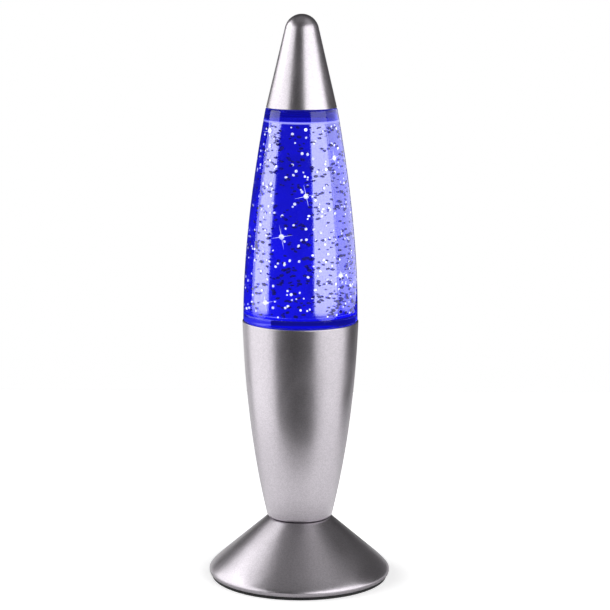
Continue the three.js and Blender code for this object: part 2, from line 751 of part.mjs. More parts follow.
function makeBody() {
  const group = new THREE.Group();
  const upperNutLow = bodyFloorTop + TOUCH;
  const neckLow = lowerNutLow - NECK_PROUD;
  const neckHigh = upperNutLow + NUT_HEIGHT + NECK_PROUD;
  piece(group, "body_shell", bodyShell(), SILVER);
  piece(group, "neck_tube", ring(NECK_BORE, NECK_RADIUS, neckLow, neckHigh), STEEL);
  piece(group, "neck_nut_lower", hexNut(lowerNutLow), BRASS);
  piece(group, "neck_nut_upper", hexNut(upperNutLow), BRASS);
  return group;
}

// ---- Carrier frame, lights, motor and leads ----

function lampFrame() {
  const wallTop = windowLow - TOUCH;
  const stepTop = boardLow - TOUCH;
  const stepLow = stepTop - BOARD_STEP;
  const lipTop = boardLow - TOUCH * 2;
  const lipLow = motorTop + TOUCH;
  const outline = [
    [socketInner, frameLow],
    [flangeRadius, frameLow],
    [flangeRadius, frameFloorTop],
    [frameOuter, frameFloorTop],
    [frameOuter, wallTop],
    [frameInner, wallTop],
    [frameInner, stepTop],
    [frameInner - BOARD_STEP, stepTop],
    [frameInner - BOARD_STEP, stepLow],
    [frameInner, stepLow - BOARD_STEP],
    [frameInner, frameFloorTop],
    [socketOuter, frameFloorTop],
    [socketOuter, lipTop],
    [noseHole, lipTop],
    [noseHole, lipLow],
    [socketInner, lipLow],
  ];
  const low = frameLow - THROUGH;
  const high = frameFloorTop + THROUGH;
  const screwHoles = roundTheAxis(FRAME_SCREWS, frameScrewCircle, Math.PI / 2);
  const leadHoles = roundTheAxis(2, LEAD_OFFSET);
  const cuts = [
    ...screwHoles.map(([x, y]) => disc(SCREW_RADIUS + SCREW_PLAY, low, high).translate(x, y, 0)),
    ...leadHoles.map(([x, y]) => disc(LEAD_HOLE_RADIUS, low, high).translate(x, y, 0)),
  ];
  return shaped(turnedRing(outline, MEDIUM), [], cuts);
}

function light() {
  return turned(
    [
      [0, 0],
      [LIGHT_RADIUS + LIGHT_RIM, 0],
      [LIGHT_RADIUS + LIGHT_RIM, LIGHT_RIM_HEIGHT],
      [LIGHT_RADIUS, LIGHT_RIM_HEIGHT],
      [LIGHT_RADIUS, LIGHT_HEIGHT - LIGHT_RADIUS],
      [LIGHT_RADIUS * Math.SQRT1_2, LIGHT_HEIGHT - LIGHT_RADIUS * (1 - Math.SQRT1_2)],
      [0, LIGHT_HEIGHT],
    ],
    SMALL,
  );
}

function lead(side) {
  const neckLow = lowerNutLow - NECK_PROUD;
  const neckHigh = bodyFloorTop + TOUCH + NUT_HEIGHT + NECK_PROUD;
  const path = new THREE.CatmullRomCurve3(
    [
      [side * NECK_RADIUS, trayTop + TOUCH],
      [side * NECK_RADIUS, trayTop + LEAD_RISE],
      [side * LEAD_SPACING, neckLow],
      [side * LEAD_SPACING, neckHigh],
      [side * LEAD_BEND_OFFSET, neckHigh + LEAD_BEND_RISE],
      [side * LEAD_OFFSET, motorLow - LEAD_BELOW_MOTOR],
      [side * LEAD_OFFSET, frameFloorTop],
      [side * LEAD_OFFSET, boardLow - TOUCH],
    ].map(([x, z]) => new THREE.Vector3(x, 0, z)),
    false,
    "centripetal",
  );
  return wire(path, LEAD_RADIUS, 30);
}

function makeDrive() {
  const group = new THREE.Group();
  const motor = [
    [0, motorLow],
    [MOTOR_RADIUS, motorLow],
    [MOTOR_RADIUS, motorTop],
    [MOTOR_NOSE_RADIUS, motorTop],
    [MOTOR_NOSE_RADIUS, motorTop + MOTOR_NOSE],
    [SHAFT_RADIUS + RUN, motorTop + MOTOR_NOSE],
    [SHAFT_RADIUS + RUN, motorTop - SHAFT_IN_MOTOR],
    [0, motorTop - SHAFT_IN_MOTOR],
  ];
  const endCapTop = motorLow - TOUCH;
  const board = ring(noseHole, frameInner - TOUCH, boardLow, boardTop);
  piece(group, "lamp_frame", lampFrame(), WHITE_PLASTIC);
  piece(group, "motor_can", turned(motor), STEEL);
  piece(
    group,
    "motor_end_cap",
    disc(MOTOR_RADIUS - TOUCH, endCapTop - END_CAP_HEIGHT, endCapTop, MEDIUM),
    WHITE_PLASTIC,
  );
  piece(group, "lamp_board", board, BOARD_GREEN);
  roundTheAxis(LIGHTS, lightCircle, Math.PI / 4).forEach(([x, y], i) => {
    piece(group, `light_${i + 1}`, light(), LAMP_BLUE, [x, y, boardTop + TOUCH]);
  });
  const windowTop = windowLow + WINDOW_THICKNESS;
  piece(group, "light_window", disc(frameOuter, windowLow, windowTop, ROUND), CLEAR);
  roundTheAxis(FRAME_SCREWS, frameScrewCircle, Math.PI / 2).forEach(([x, y], i) => {
    const headTop = frameFloorTop + TOUCH + SCREW_HEAD_HEIGHT;
    const fixed = piece(group, `frame_screw_${i + 1}`, screw(FRAME_SCREW_REACH), STEEL);
    fixed.position.set(x, y, headTop);
    fixed.rotation.set(Math.PI, 0, 0);
  });
  piece(group, "lead_red", lead(1), RED_LEAD);
  piece(group, "lead_black", lead(-1), BLACK_LEAD);
  return group;
}

// ---- Magnet rotor ----

function makeRotor() {
  const group = new THREE.Group();
  const shaftLow = motorTop - SHAFT_IN_MOTOR + TOUCH;
  const shaft = disc(SHAFT_RADIUS, shaftLow, holderTop);
  const outline = [
    [SHAFT_RADIUS + TOUCH, holderLow - HOLDER_HUB],
    [HOLDER_HUB_RADIUS, holderLow - HOLDER_HUB],
    [HOLDER_HUB_RADIUS, holderLow],
    [holderRadius, holderLow],
    [holderRadius, holderTop],
    [SHAFT_RADIUS + TOUCH, holderTop],
  ];
  const magnetLow = holderTop - MAGNET_HEIGHT;
  const places = roundTheAxis(2, MAGNET_OFFSET);
  const pockets = places.map(([x, y]) =>
    disc(MAGNET_RADIUS + TOUCH, magnetLow - TOUCH, holderTop + THROUGH).translate(x, y, 0),
  );
  piece(group, "motor_shaft", shaft, STEEL);
  piece(group, "magnet_holder", shaped(turnedRing(outline), [], pockets), WHITE_PLASTIC);
  places.forEach(([x, y], i) => {
    const magnet = disc(MAGNET_RADIUS, magnetLow, holderTop);
    piece(group, `drive_magnet_${i + 1}`, magnet, MAGNET, [x, y, 0]);
  });
  return group;
}

// ---- Bottle ----

function bottle() {
  const side = bottleCurve();
  const ceiling = bottleShoulder - BOTTLE_WALL;
  const pinHole = PIN_RADIUS + TOUCH;
  const outline = [
    [0, floorUnder],
    [skirtInner, floorUnder],
    [skirtInner, bottleLow - SKIRT_DEPTH],
    [skirtOuter, bottleLow - SKIRT_DEPTH],
    [skirtOuter, bottleLow],
    [bottleRadius - BOTTLE_EDGE, bottleLow],
    ...sidePoints(side, bottleLow + BOTTLE_EDGE, bottleShoulder - BOTTLE_EDGE, 8),
    [BOTTLE_TOP_RADIUS - BOTTLE_EDGE, bottleShoulder],
    [NECK_FINISH_RADIUS, bottleShoulder],
    [NECK_FINISH_RADIUS, neckTop],
    [neckInner, neckTop],
    [neckInner, ceiling],
    ...sidePoints(side, ceiling, floorTop + BOTTLE_FLOOR_ROUND, 6, BOTTLE_WALL),
    [radiusAt(side, floorTop) - BOTTLE_WALL - BOTTLE_FLOOR_ROUND, floorTop],
    [pinHole, floorTop],
    [pinHole, floorTop - PIN_DEPTH - TOUCH],
    [0, floorTop - PIN_DEPTH - TOUCH],
  ];
  return turned(outline, ROUND);
}

function liquid() {
  const side = bottleCurve();
  const inset = BOTTLE_WALL + TOUCH;
  const low = floorTop + TOUCH;
  const pocketRadius = wheelRadius + STIR_ROOM;
  const pocketTop = pinTop + TOUCH * 3 + STIR_ROOM;
  return turned(
    [
      [0, pocketTop],
      [pocketRadius, pocketTop],
      [pocketRadius, low],
      [radiusAt(side, low) - inset - LIQUID_ROUND, low],
      ...sidePoints(side, low + LIQUID_ROUND, liquidTop, 6, inset),
      [0, liquidTop],
    ],
    ROUND,
  );
}

function makeBottle() {
  const group = new THREE.Group();
  const stopperLow = neckTop + TOUCH - STOPPER_DEPTH;
  const flangeLow = neckTop + TOUCH;
  const flangeTop = flangeLow + STOPPER_FLANGE;
  const stopper = [
    [0, stopperLow],
    [neckInner - TOUCH, stopperLow],
    [neckInner - TOUCH, flangeLow],
    [NECK_FINISH_RADIUS - TOUCH, flangeLow],
    [NECK_FINISH_RADIUS - TOUCH, flangeTop],
    [0, flangeTop],
  ];
  const closure = [
    [0, closureCeiling],
    [closureInner, closureCeiling],
    [closureInner, closureLow],
    [closureOuter, closureLow],
    [closureOuter, closureTop - CLOSURE_EDGE],
    [closureOuter - CLOSURE_EDGE, closureTop],
    [0, closureTop],
  ];
  const collarRadius = PIN_RADIUS + PIN_COLLAR_WIDTH;
  const collarLow = floorTop + TOUCH;
  const pin = [
    [0, floorTop - PIN_DEPTH],
    [PIN_RADIUS, floorTop - PIN_DEPTH],
    [PIN_RADIUS, collarLow],
    [collarRadius, collarLow],
    [collarRadius, collarLow + PIN_COLLAR],
    [PIN_RADIUS, collarLow + PIN_COLLAR],
    [PIN_RADIUS, pinTop],
    [0, pinTop],
  ];
  const retainer = [
    [0, pinTop + TOUCH],
    [PIN_RADIUS + TOUCH, pinTop + TOUCH],
    [PIN_RADIUS + TOUCH, wheelTop + TOUCH],
    [collarRadius + TOUCH, wheelTop + TOUCH],
    [collarRadius + TOUCH, pinTop + TOUCH * 3],
    [0, pinTop + TOUCH * 3],
  ];
  piece(group, "bottle", bottle(), CLEAR);
  piece(group, "liquid", liquid(), LIQUID);
  piece(group, "neck_stopper", turned(stopper), BLACK_RUBBER);
  piece(group, "screw_closure", turned(closure, ROUND), WHITE_PLASTIC);
  piece(group, "stirrer_pin", turned(pin, SMALL), STEEL);
  piece(group, "stirrer_retainer", turned(retainer, SMALL), WHITE_PLASTIC);
  return group;
}

// ---- Stirrer ----

function makeStirrer() {
  const group = new THREE.Group();
  const bore = PIN_RADIUS + RUN;
  const outline = [
    [bore, wheelLow],
    [wheelRadius, wheelLow],
    [wheelRadius, wheelDiscTop],
    [WHEEL_HUB, wheelDiscTop],
    [WHEEL_HUB, wheelTop],
    [bore, wheelTop],
  ];
  const vanes = [];
  for (let i = 0; i < VANES; i++) {
    const vane = block(
      [WHEEL_HUB - VANE_SINK, -VANE_THICKNESS / 2, wheelDiscTop - VANE_SINK],
      [wheelRadius - VANE_INSET, VANE_THICKNESS / 2, wheelTop - VANE_STEP],
    );
    vanes.push(vane.rotateZ(Math.PI / VANES + (i * 2 * Math.PI) / VANES));
  }
  const magnetLow = wheelLow + STIR_MAGNET_RAISE;
  const magnetTop = magnetLow + STIR_MAGNET_HEIGHT;
  const places = roundTheAxis(2, MAGNET_OFFSET);
  const pockets = places.map(([x, y]) =>
    disc(STIR_MAGNET_RADIUS + TOUCH, wheelLow - THROUGH, magnetTop + TOUCH).translate(x, y, 0),
  );
  piece(group, "stirrer_wheel", shaped(turnedRing(outline), vanes, pockets), WHITE_PLASTIC);
  places.forEach(([x, y], i) => {
    const magnet = disc(STIR_MAGNET_RADIUS, magnetLow, magnetTop);
    piece(group, `stirrer_magnet_${i + 1}`, magnet, MAGNET, [x, y, 0]);
  });
  return group;
}

// ---- Cap ----

// The cone's line starts at the edge and runs into a round nose that ends at the cap's top.
const capTop = capLow + CAP_HEIGHT;
const capSlope = Math.tan(CAP_ANGLE);
const noseRadius =
  ((capEdgeRadius - capSlope * CAP_HEIGHT) * Math.cos(CAP_ANGLE)) / (1 - Math.sin(CAP_ANGLE));
const noseMiddle = capTop - noseRadius;
const capInnerRadius = (z) =>
  capEdgeRadius - CAP_WALL / Math.cos(CAP_ANGLE) - capSlope * (z - capLow);

// The nose's arc from the cone to the tip, for the outer face or, with `inset`, the inner one.
function nosePoints(inset, steps) {
  const radius = noseRadius - inset;
  const points = [];
  for (let i = 0; i < steps; i++) {
    const angle = CAP_ANGLE + ((Math.PI / 2 - CAP_ANGLE) * i) / steps;
    points.push([radius * Math.cos(angle), noseMiddle + radius * Math.sin(angle)]);
  }
  return [...points, [0, noseMiddle + radius]];
}

function makeCap() {
  const group = new THREE.Group();
  const shell = [
    ...nosePoints(CAP_WALL, 4).reverse(),
    [capInnerRadius(capLow), capLow],
    [capEdgeRadius, capLow],
    ...nosePoints(0, 5),
  ];
  const linerLow = closureLow;
  const linerTop = linerLow + LINER_HEIGHT;
  const liner = [
    [closureOuter + TOUCH, linerLow],
    [capInnerRadius(linerLow) - TOUCH, linerLow],
    [capInnerRadius(linerTop) - TOUCH, linerTop],
    [closureOuter + TOUCH, linerTop],
  ];
  piece(group, "cap_shell", turned(shell, ROUND), SILVER);
  piece(group, "cap_liner", turnedRing(liner, ROUND), BLACK_RUBBER);
  return group;
}

// ---- The whole lamp ----

const lamp = new THREE.Group();
lamp.add(
  makeBase(),
  makeBatteryPack(),
  makeDoor(),
  makeSwitch(),
  makeBody(),
  makeDrive(),
  makeRotor(),
  makeBottle(),
  makeStirrer(),
  makeCap(),
);
export default lamp;
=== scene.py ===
"""Looks of a rocket-shaped glitter lamp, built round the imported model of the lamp."""

import logging
import math
import random
from dataclasses import dataclass, field
from enum import Enum
from typing import Iterable, Sequence

import bmesh
import bpy
from mathutils import Euler, Matrix, Vector


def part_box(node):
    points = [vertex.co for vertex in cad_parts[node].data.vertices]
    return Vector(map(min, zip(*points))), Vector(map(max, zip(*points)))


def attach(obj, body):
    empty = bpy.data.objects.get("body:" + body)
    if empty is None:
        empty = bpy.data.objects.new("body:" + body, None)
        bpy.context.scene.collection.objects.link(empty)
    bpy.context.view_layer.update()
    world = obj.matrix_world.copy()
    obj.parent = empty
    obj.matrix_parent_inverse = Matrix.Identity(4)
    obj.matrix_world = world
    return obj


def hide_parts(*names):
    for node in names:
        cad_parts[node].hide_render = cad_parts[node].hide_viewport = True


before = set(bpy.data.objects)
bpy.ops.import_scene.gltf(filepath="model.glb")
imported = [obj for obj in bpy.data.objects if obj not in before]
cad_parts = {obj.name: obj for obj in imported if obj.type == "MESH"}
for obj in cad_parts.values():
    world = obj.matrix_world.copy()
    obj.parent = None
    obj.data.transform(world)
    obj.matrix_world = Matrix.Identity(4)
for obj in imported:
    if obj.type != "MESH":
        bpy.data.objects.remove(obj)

log = logging.getLogger("glitter_lamp")

MM = 0.001
SHELL_FACETS = 192
SHARP_ANGLE = math.radians(35)
FLAT_ANGLE = math.radians(1)
SAME_PLACE = 1e-6
EASED_EDGE = 0.2 * MM
NECK_HEIGHT = 11.1 * MM

Point = tuple[float, float]
Colour = tuple[float, float, float]


class Slot(Enum):
    """The material slots."""

    SILVER = "silver_shell"
    RUBBER = "black_rubber"
    BLACK_PLASTIC = "black_plastic"
    WHITE_PLASTIC = "white_plastic"
    STEEL = "steel"
    BRASS = "brass"
    CELL = "cell_sleeve"
    BOARD = "circuit_board"
    LIGHT = "light_lens"
    CLEAR = "clear_plastic"
    LIQUID = "blue_liquid"
    MAGNET = "magnet"
    RED_LEAD = "red_lead"
    BLACK_LEAD = "black_lead"


class Body(Enum):
    """The rigid bodies that pieces move with."""

    STAND = "stand"
    ROTOR = "magnet_rotor"
    BOTTLE = "bottle"
    STIRRER = "stirrer"
    CAP = "cap"
    SWITCH = "power_switch"
    DOOR = "battery_door"


# ---------------------------------------------------------------- outlines


@dataclass(frozen=True)
class Side:
    """A smooth side between two heights, with its own lean at each end.

    Lean is the radius gained for each unit of height.
    """

    low: Point
    low_lean: float
    high: Point
    high_lean: float

    def radius(self, z: float) -> float:
        """The side's radius at a height.

        Args:
            z: The height.

        Returns:
            The radius there.
        """
        span = self.high[1] - self.low[1]
        t = (z - self.low[1]) / span
        start = (1 + 2 * t) * (1 - t) ** 2 * self.low[0]
        start_lean = t * (1 - t) ** 2 * span * self.low_lean
        end = t * t * (3 - 2 * t) * self.high[0]
        end_lean = t * t * (t - 1) * span * self.high_lean
        return start + start_lean + end + end_lean

    def points(self, start: float, end: float, steps: int, inset: float = 0.0) -> list[Point]:
        """Points on the side from one height to another.

        Args:
            start: The first height.
            end: The last height.
            steps: How many stretches there are between them.
            inset: How far the points lie inside the side.

        Returns:
            The points, as radius and height.
        """
        heights = [start + (end - start) * i / steps for i in range(steps + 1)]
        return [(self.radius(z) - inset, z) for z in heights]


def bend(start: Point, corner: Point, end: Point, steps: int = 6) -> list[Point]:
    """Points of a smooth bend that leaves one line and meets the next.

    Args:
        start: Where the bend starts.
        corner: Where the two lines meet.
        end: Where the bend ends.
        steps: How many stretches the bend has.

    Returns:
        The points of the bend.
    """
    a, c, b = Vector(start), Vector(corner), Vector(end)
    points = []
    for i in range(steps + 1):
        t = i / steps
        p = (1 - t) ** 2 * a + 2 * t * (1 - t) * c + t * t * b
        points.append((p.x, p.y))
    return points


def rounded(before: Point, corner: Point, after: Point, size: float, steps: int = 6) -> list[Point]:
    """Points that round off one corner of an outline.

    Args:
        before: A point on the line into the corner.
        corner: The corner.
        after: A point on the line out of the corner.
        size: How far from the corner the round starts and ends.
        steps: How many stretches the round has.

    Returns:
        The points of the round.
    """
    c = Vector(corner)
    a = c + (Vector(before) - c).normalized() * size
    b = c + (Vector(after) - c).normalized() * size
    return bend(tuple(a), corner, tuple(b), steps)


def outline(corners: Sequence[tuple[float, float, float]], closed: bool = False) -> list[Point]:
    """An outline from corners that each say how much they are rounded.

    Args:
        corners: Radius, height and size of the round, for each corner.
        closed: Whether the last corner joins the first.

    Returns:
        The outline's points.
    """
    points: list[Point] = []
    count = len(corners)
    for i, (radius, height, size) in enumerate(corners):
        at_end = not closed and i in (0, count - 1)
        if size <= 0 or at_end:
            points.append((radius, height))
            continue
        before = corners[i - 1][:2]
        after = corners[(i + 1) % count][:2]
        points += rounded(before, (radius, height), after, size)
    return points


# ---------------------------------------------------------------- meshes


def new_object(name: str, mesh: bpy.types.Mesh) -> bpy.types.Object:
    """Links a mesh to the scene as an object.

    Args:
        name: The object's name.
        mesh: Its mesh.

    Returns:
        The object.
    """
    piece = bpy.data.objects.new(name, mesh)
    bpy.context.scene.collection.objects.link(piece)
    return piece


def smooth(mesh: bpy.types.Mesh) -> None:
    """Shades a mesh smooth but for its sharp edges."""
    mesh.polygons.foreach_set("use_smooth", [True] * len(mesh.polygons))
    mesh.set_sharp_from_angle(angle=SHARP_ANGLE)


def turned(
    name: str, points: Sequence[Point], closed: bool = False, facets: int = SHELL_FACETS
) -> bpy.types.Object:
    """Turns an outline about the lamp's axis.

    Args:
        name: The piece's name.
        points: Radius and height of each point, anticlockwise.
        closed: Whether the last point joins the first, as on a ring.
        facets: How many facets go round.

    Returns:
        The piece.
    """
    angles = [2 * math.pi * i / facets for i in range(facets)]
    vertices: list[tuple[float, float, float]] = []
    rows: list[list[int]] = []
    for radius, height in points:
        if radius < SAME_PLACE:
            rows.append([len(vertices)] * facets)
            vertices.append((0.0, 0.0, height))
            continue
        rows.append(list(range(len(vertices), len(vertices) + facets)))
        vertices += [(radius * math.cos(a), radius * math.sin(a), height) for a in angles]
    pairs = list(zip(rows, rows[1:]))
    if closed:
        pairs.append((rows[-1], rows[0]))
    faces = []
    for lower, upper in pairs:
        for i in range(facets):
            j = (i + 1) % facets
            corners = [lower[i], lower[j], upper[j], upper[i]]
            face = list(dict.fromkeys(corners))
            if len(face) > 2:
                faces.append(face)
    mesh = bpy.data.meshes.new(name)
    mesh.from_pydata(vertices, [], faces)
    smooth(mesh)
    return new_object(name, mesh)


def refined(name: str, node: str, bevel: float = EASED_EDGE) -> bpy.types.Object:
    """A copy of a model node with its flat faces made whole and its edges eased.

    Args:
        name: The new piece's name.
        node: The node that is copied.
        bevel: The width of the eased edges.

    Returns:
        The new piece.
    """
    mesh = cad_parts[node].data.copy()
    mesh.materials.clear()
    work = bmesh.new()
    work.from_mesh(mesh)
    bmesh.ops.remove_doubles(work, verts=work.verts, dist=SAME_PLACE)
    bmesh.ops.dissolve_limit(work, angle_limit=FLAT_ANGLE, verts=work.verts, edges=work.edges)
    work.to_mesh(mesh)
    work.free()
    piece = new_object(name, mesh)
    eased = piece.modifiers.new("eased_edges", "BEVEL")
    eased.width = bevel
    eased.segments = 2
    eased.limit_method = "ANGLE"
    eased.angle_limit = SHARP_ANGLE
    apply_modifiers(piece)
    smooth(piece.data)
    return piece


def apply_modifiers(piece: bpy.types.Object) -> None:
    """Turns a piece's modifiers into its mesh.

    Args:
        piece: The piece.
    """
    bpy.context.view_layer.update()
    graph = bpy.context.evaluated_depsgraph_get()
    made = bpy.data.meshes.new_from_object(piece.evaluated_get(graph))
    piece.modifiers.clear()
    piece.data = made


def cut_away(piece: bpy.types.Object, cutter: bpy.types.Object) -> None:
    """Cuts one closed piece from another and removes the cutter.

    Args:
        piece: The piece that is cut.
        cutter: The piece that cuts.
    """
    cut = piece.modifiers.new("cut", "BOOLEAN")
    cut.operation = "DIFFERENCE"
    cut.solver = "EXACT"
    cut.object = cutter
    apply_modifiers(piece)
    bpy.data.objects.remove(cutter)
    smooth(piece.data)


# ---------------------------------------------------------------- shader groups


class Tree:
    """Short ways to add and join nodes in one node tree."""

    def __init__(self, tree: bpy.types.NodeTree) -> None:
        """Keeps the tree that nodes are added to."""
        self.tree = tree

    def node(self, kind: str, **settings: object) -> bpy.types.Node:
        """Adds a node.

        Args:
            kind: The node's type name.
            **settings: Properties to set on it.

        Returns:
            The node.
        """
        made = self.tree.nodes.new(kind)
        for key, value in settings.items():
            setattr(made, key, value)
        return made

    def feed(self, socket: bpy.types.NodeSocket, value: object) -> None:
        """Links an output to a socket, or sets the socket to a plain value.

        Args:
            socket: The socket.
            value: The output or the plain value.
        """
        if isinstance(value, bpy.types.NodeSocket):
            self.tree.links.new(value, socket)
        else:
            socket.default_value = value

    def math(self, operation: str, *values: object) -> bpy.types.NodeSocket:
        """A sum on numbers.

        Args:
            operation: The Math node's operation.
            *values: Its inputs.

        Returns:
            The result's socket.
        """
        made = self.node("ShaderNodeMath", operation=operation)
        for socket, value in zip(made.inputs, values):
            self.feed(socket, value)
        return made.outputs[0]

    def spread(
        self, value: object, low: object, high: object, to_low: float = 0.0, to_high: float = 1.0
    ) -> bpy.types.NodeSocket:
        """A number moved from one range to another, held inside it.

        Args:
            value: The number.
            low: Where it starts.
            high: Where it ends.
            to_low: What the start becomes.
            to_high: What the end becomes.

        Returns:
            The result's socket.
        """
        made = self.node("ShaderNodeMapRange", interpolation_type="SMOOTHSTEP")
        for socket, number in zip(made.inputs, (value, low, high, to_low, to_high)):
            self.feed(socket, number)
        return made.outputs[0]

    def part(self, vector: bpy.types.NodeSocket, axis: str) -> bpy.types.NodeSocket:
        """One coordinate of a vector.

        Args:
            vector: The vector's socket.
            axis: X, Y or Z.

        Returns:
            The coordinate's socket.
        """
        split = self.node("ShaderNodeSeparateXYZ")
        self.feed(split.inputs[0], vector)
        return split.outputs[axis]

    def mix(self, share: object, first: object, second: object) -> bpy.types.NodeSocket:
        """A mix of two colours.

        Args:
            share: How much of the second there is.
            first: The first colour.
            second: The second colour.

        Returns:
            The mixed colour's socket.
        """
        made = self.node("ShaderNodeMix", data_type="RGBA")
        self.feed(made.inputs["Factor"], share)
        self.feed(made.inputs["A"], self.opaque(first))
        self.feed(made.inputs["B"], self.opaque(second))
        return made.outputs["Result"]

    @staticmethod
    def opaque(colour: object) -> object:
        """A plain colour with its alpha, or a socket as it is."""
        return (*colour, 1.0) if isinstance(colour, tuple) and len(colour) == 3 else colour


def new_group(
    name: str, inputs: Iterable[tuple[str, str, object]], outputs: Iterable[tuple[str, str]]
) -> tuple[bpy.types.NodeTree, Tree, bpy.types.Node, bpy.types.Node]:
    """An empty shader group with named sockets.

    Args:
        name: The group's name.
        inputs: Name, socket type and usual value of each input.
        outputs: Name and socket type of each output.

    Returns:
        The group, its helper, its input node and its output node.
    """
    group = bpy.data.node_groups.new(name, "ShaderNodeTree")
    for label, kind, value in inputs:
        socket = group.interface.new_socket(label, in_out="INPUT", socket_type=kind)
        if value is not None:
            socket.default_value = value
    for label, kind in outputs:
        group.interface.new_socket(label, in_out="OUTPUT", socket_type=kind)
    tree = Tree(group)
    return group, tree, tree.node("NodeGroupInput"), tree.node("NodeGroupOutput")


class Effects:
    """The shader groups that several finishes share, each built once."""

    FLOAT = "NodeSocketFloat"
    VECTOR = "NodeSocketVector"
    GRAIN_SCALE = 2600.0
    FLAKE_SCALE = 2200.0
    CLOUD_SCALE = 40.0
    CLOUD_SWIRL = 0.6
    RUB_SCALE = 900.0
    RUB_FROM, RUB_TO = 0.52, 0.60

    def __init__(self) -> None:
        """Builds all the groups."""
        self.grain = self._grain()
        self.flake = self._flake()
        self.clouds = self._clouds()
        self.wear = self._wear()

    @staticmethod
    def _texture(tree: Tree, kind: str, given: bpy.types.Node, scale: float) -> bpy.types.Node:
        """A texture that reads the group's coordinates at its own scale.

        Args:
            tree: The group's helper.
            kind: The texture's type name.
            given: The group's input node.
            scale: The texture's scale where the group's scale is 1.

        Returns:
            The texture's node.
        """
        texture = tree.node(kind)
        tree.feed(texture.inputs["Vector"], given.outputs["Vector"])
        size = tree.math("MULTIPLY", given.outputs["Scale"], scale)
        tree.feed(texture.inputs["Scale"], size)
        return texture

    def _grain(self) -> bpy.types.NodeTree:
        """Fine moulded grain.

        Returns:
            A group that puts out a mask and a height.
        """
        group, tree, given, out = new_group(
            "moulded_grain",
            [("Vector", self.VECTOR, None), ("Scale", self.FLOAT, 1.0)],
            [("Mask", self.FLOAT), ("Height", self.FLOAT)],
        )
        noise = self._texture(tree, "ShaderNodeTexNoise", given, self.GRAIN_SCALE)
        noise.inputs["Detail"].default_value = 3.0
        tree.feed(out.inputs["Height"], noise.outputs["Fac"])
        tree.feed(out.inputs["Mask"], tree.spread(noise.outputs["Fac"], 0.35, 0.65))
        return group

    def _flake(self) -> bpy.types.NodeTree:
        """Metal flakes in paint.

        Returns:
            A group that puts out each flake's tone and height.
        """
        group, tree, given, out = new_group(
            "paint_flake",
            [("Vector", self.VECTOR, None), ("Scale", self.FLOAT, 1.0)],
            [("Tone", self.FLOAT), ("Height", self.FLOAT)],
        )
        cells = self._texture(tree, "ShaderNodeTexVoronoi", given, self.FLAKE_SCALE)
        split = tree.node("ShaderNodeSeparateColor")
        tree.feed(split.inputs["Color"], cells.outputs["Color"])
        tree.feed(out.inputs["Tone"], split.outputs["Red"])
        tree.feed(out.inputs["Height"], split.outputs["Green"])
        return group

    def _clouds(self) -> bpy.types.NodeTree:
        """Slow, uneven changes such as haze and handling marks.

        Returns:
            A group that puts out a mask.
        """
        group, tree, given, out = new_group(
            "soft_clouds",
            [("Vector", self.VECTOR, None), ("Scale", self.FLOAT, 1.0)],
            [("Mask", self.FLOAT)],
        )
        noise = self._texture(tree, "ShaderNodeTexNoise", given, self.CLOUD_SCALE)
        noise.inputs["Detail"].default_value = 4.0
        noise.inputs["Distortion"].default_value = self.CLOUD_SWIRL
        tree.feed(out.inputs["Mask"], tree.spread(noise.outputs["Fac"], 0.3, 0.7))
        return group

    def _wear(self) -> bpy.types.NodeTree:
        """Rubbed edges.

        Returns:
            A group that puts out a mask of the edges that stand out.
        """
        group, tree, given, out = new_group(
            "rubbed_edges",
            [("Vector", self.VECTOR, None), ("Amount", self.FLOAT, 1.0)],
            [("Mask", self.FLOAT)],
        )
        shape = tree.node("ShaderNodeNewGeometry")
        noise = tree.node("ShaderNodeTexNoise")
        tree.feed(noise.inputs["Vector"], given.outputs["Vector"])
        noise.inputs["Scale"].default_value = self.RUB_SCALE
        edge = tree.spread(shape.outputs["Pointiness"], self.RUB_FROM, self.RUB_TO)
        uneven = tree.math("MULTIPLY", edge, noise.outputs["Fac"])
        tree.feed(out.inputs["Mask"], tree.math("MULTIPLY", uneven, given.outputs["Amount"]))
        return group


EFFECTS = Effects()


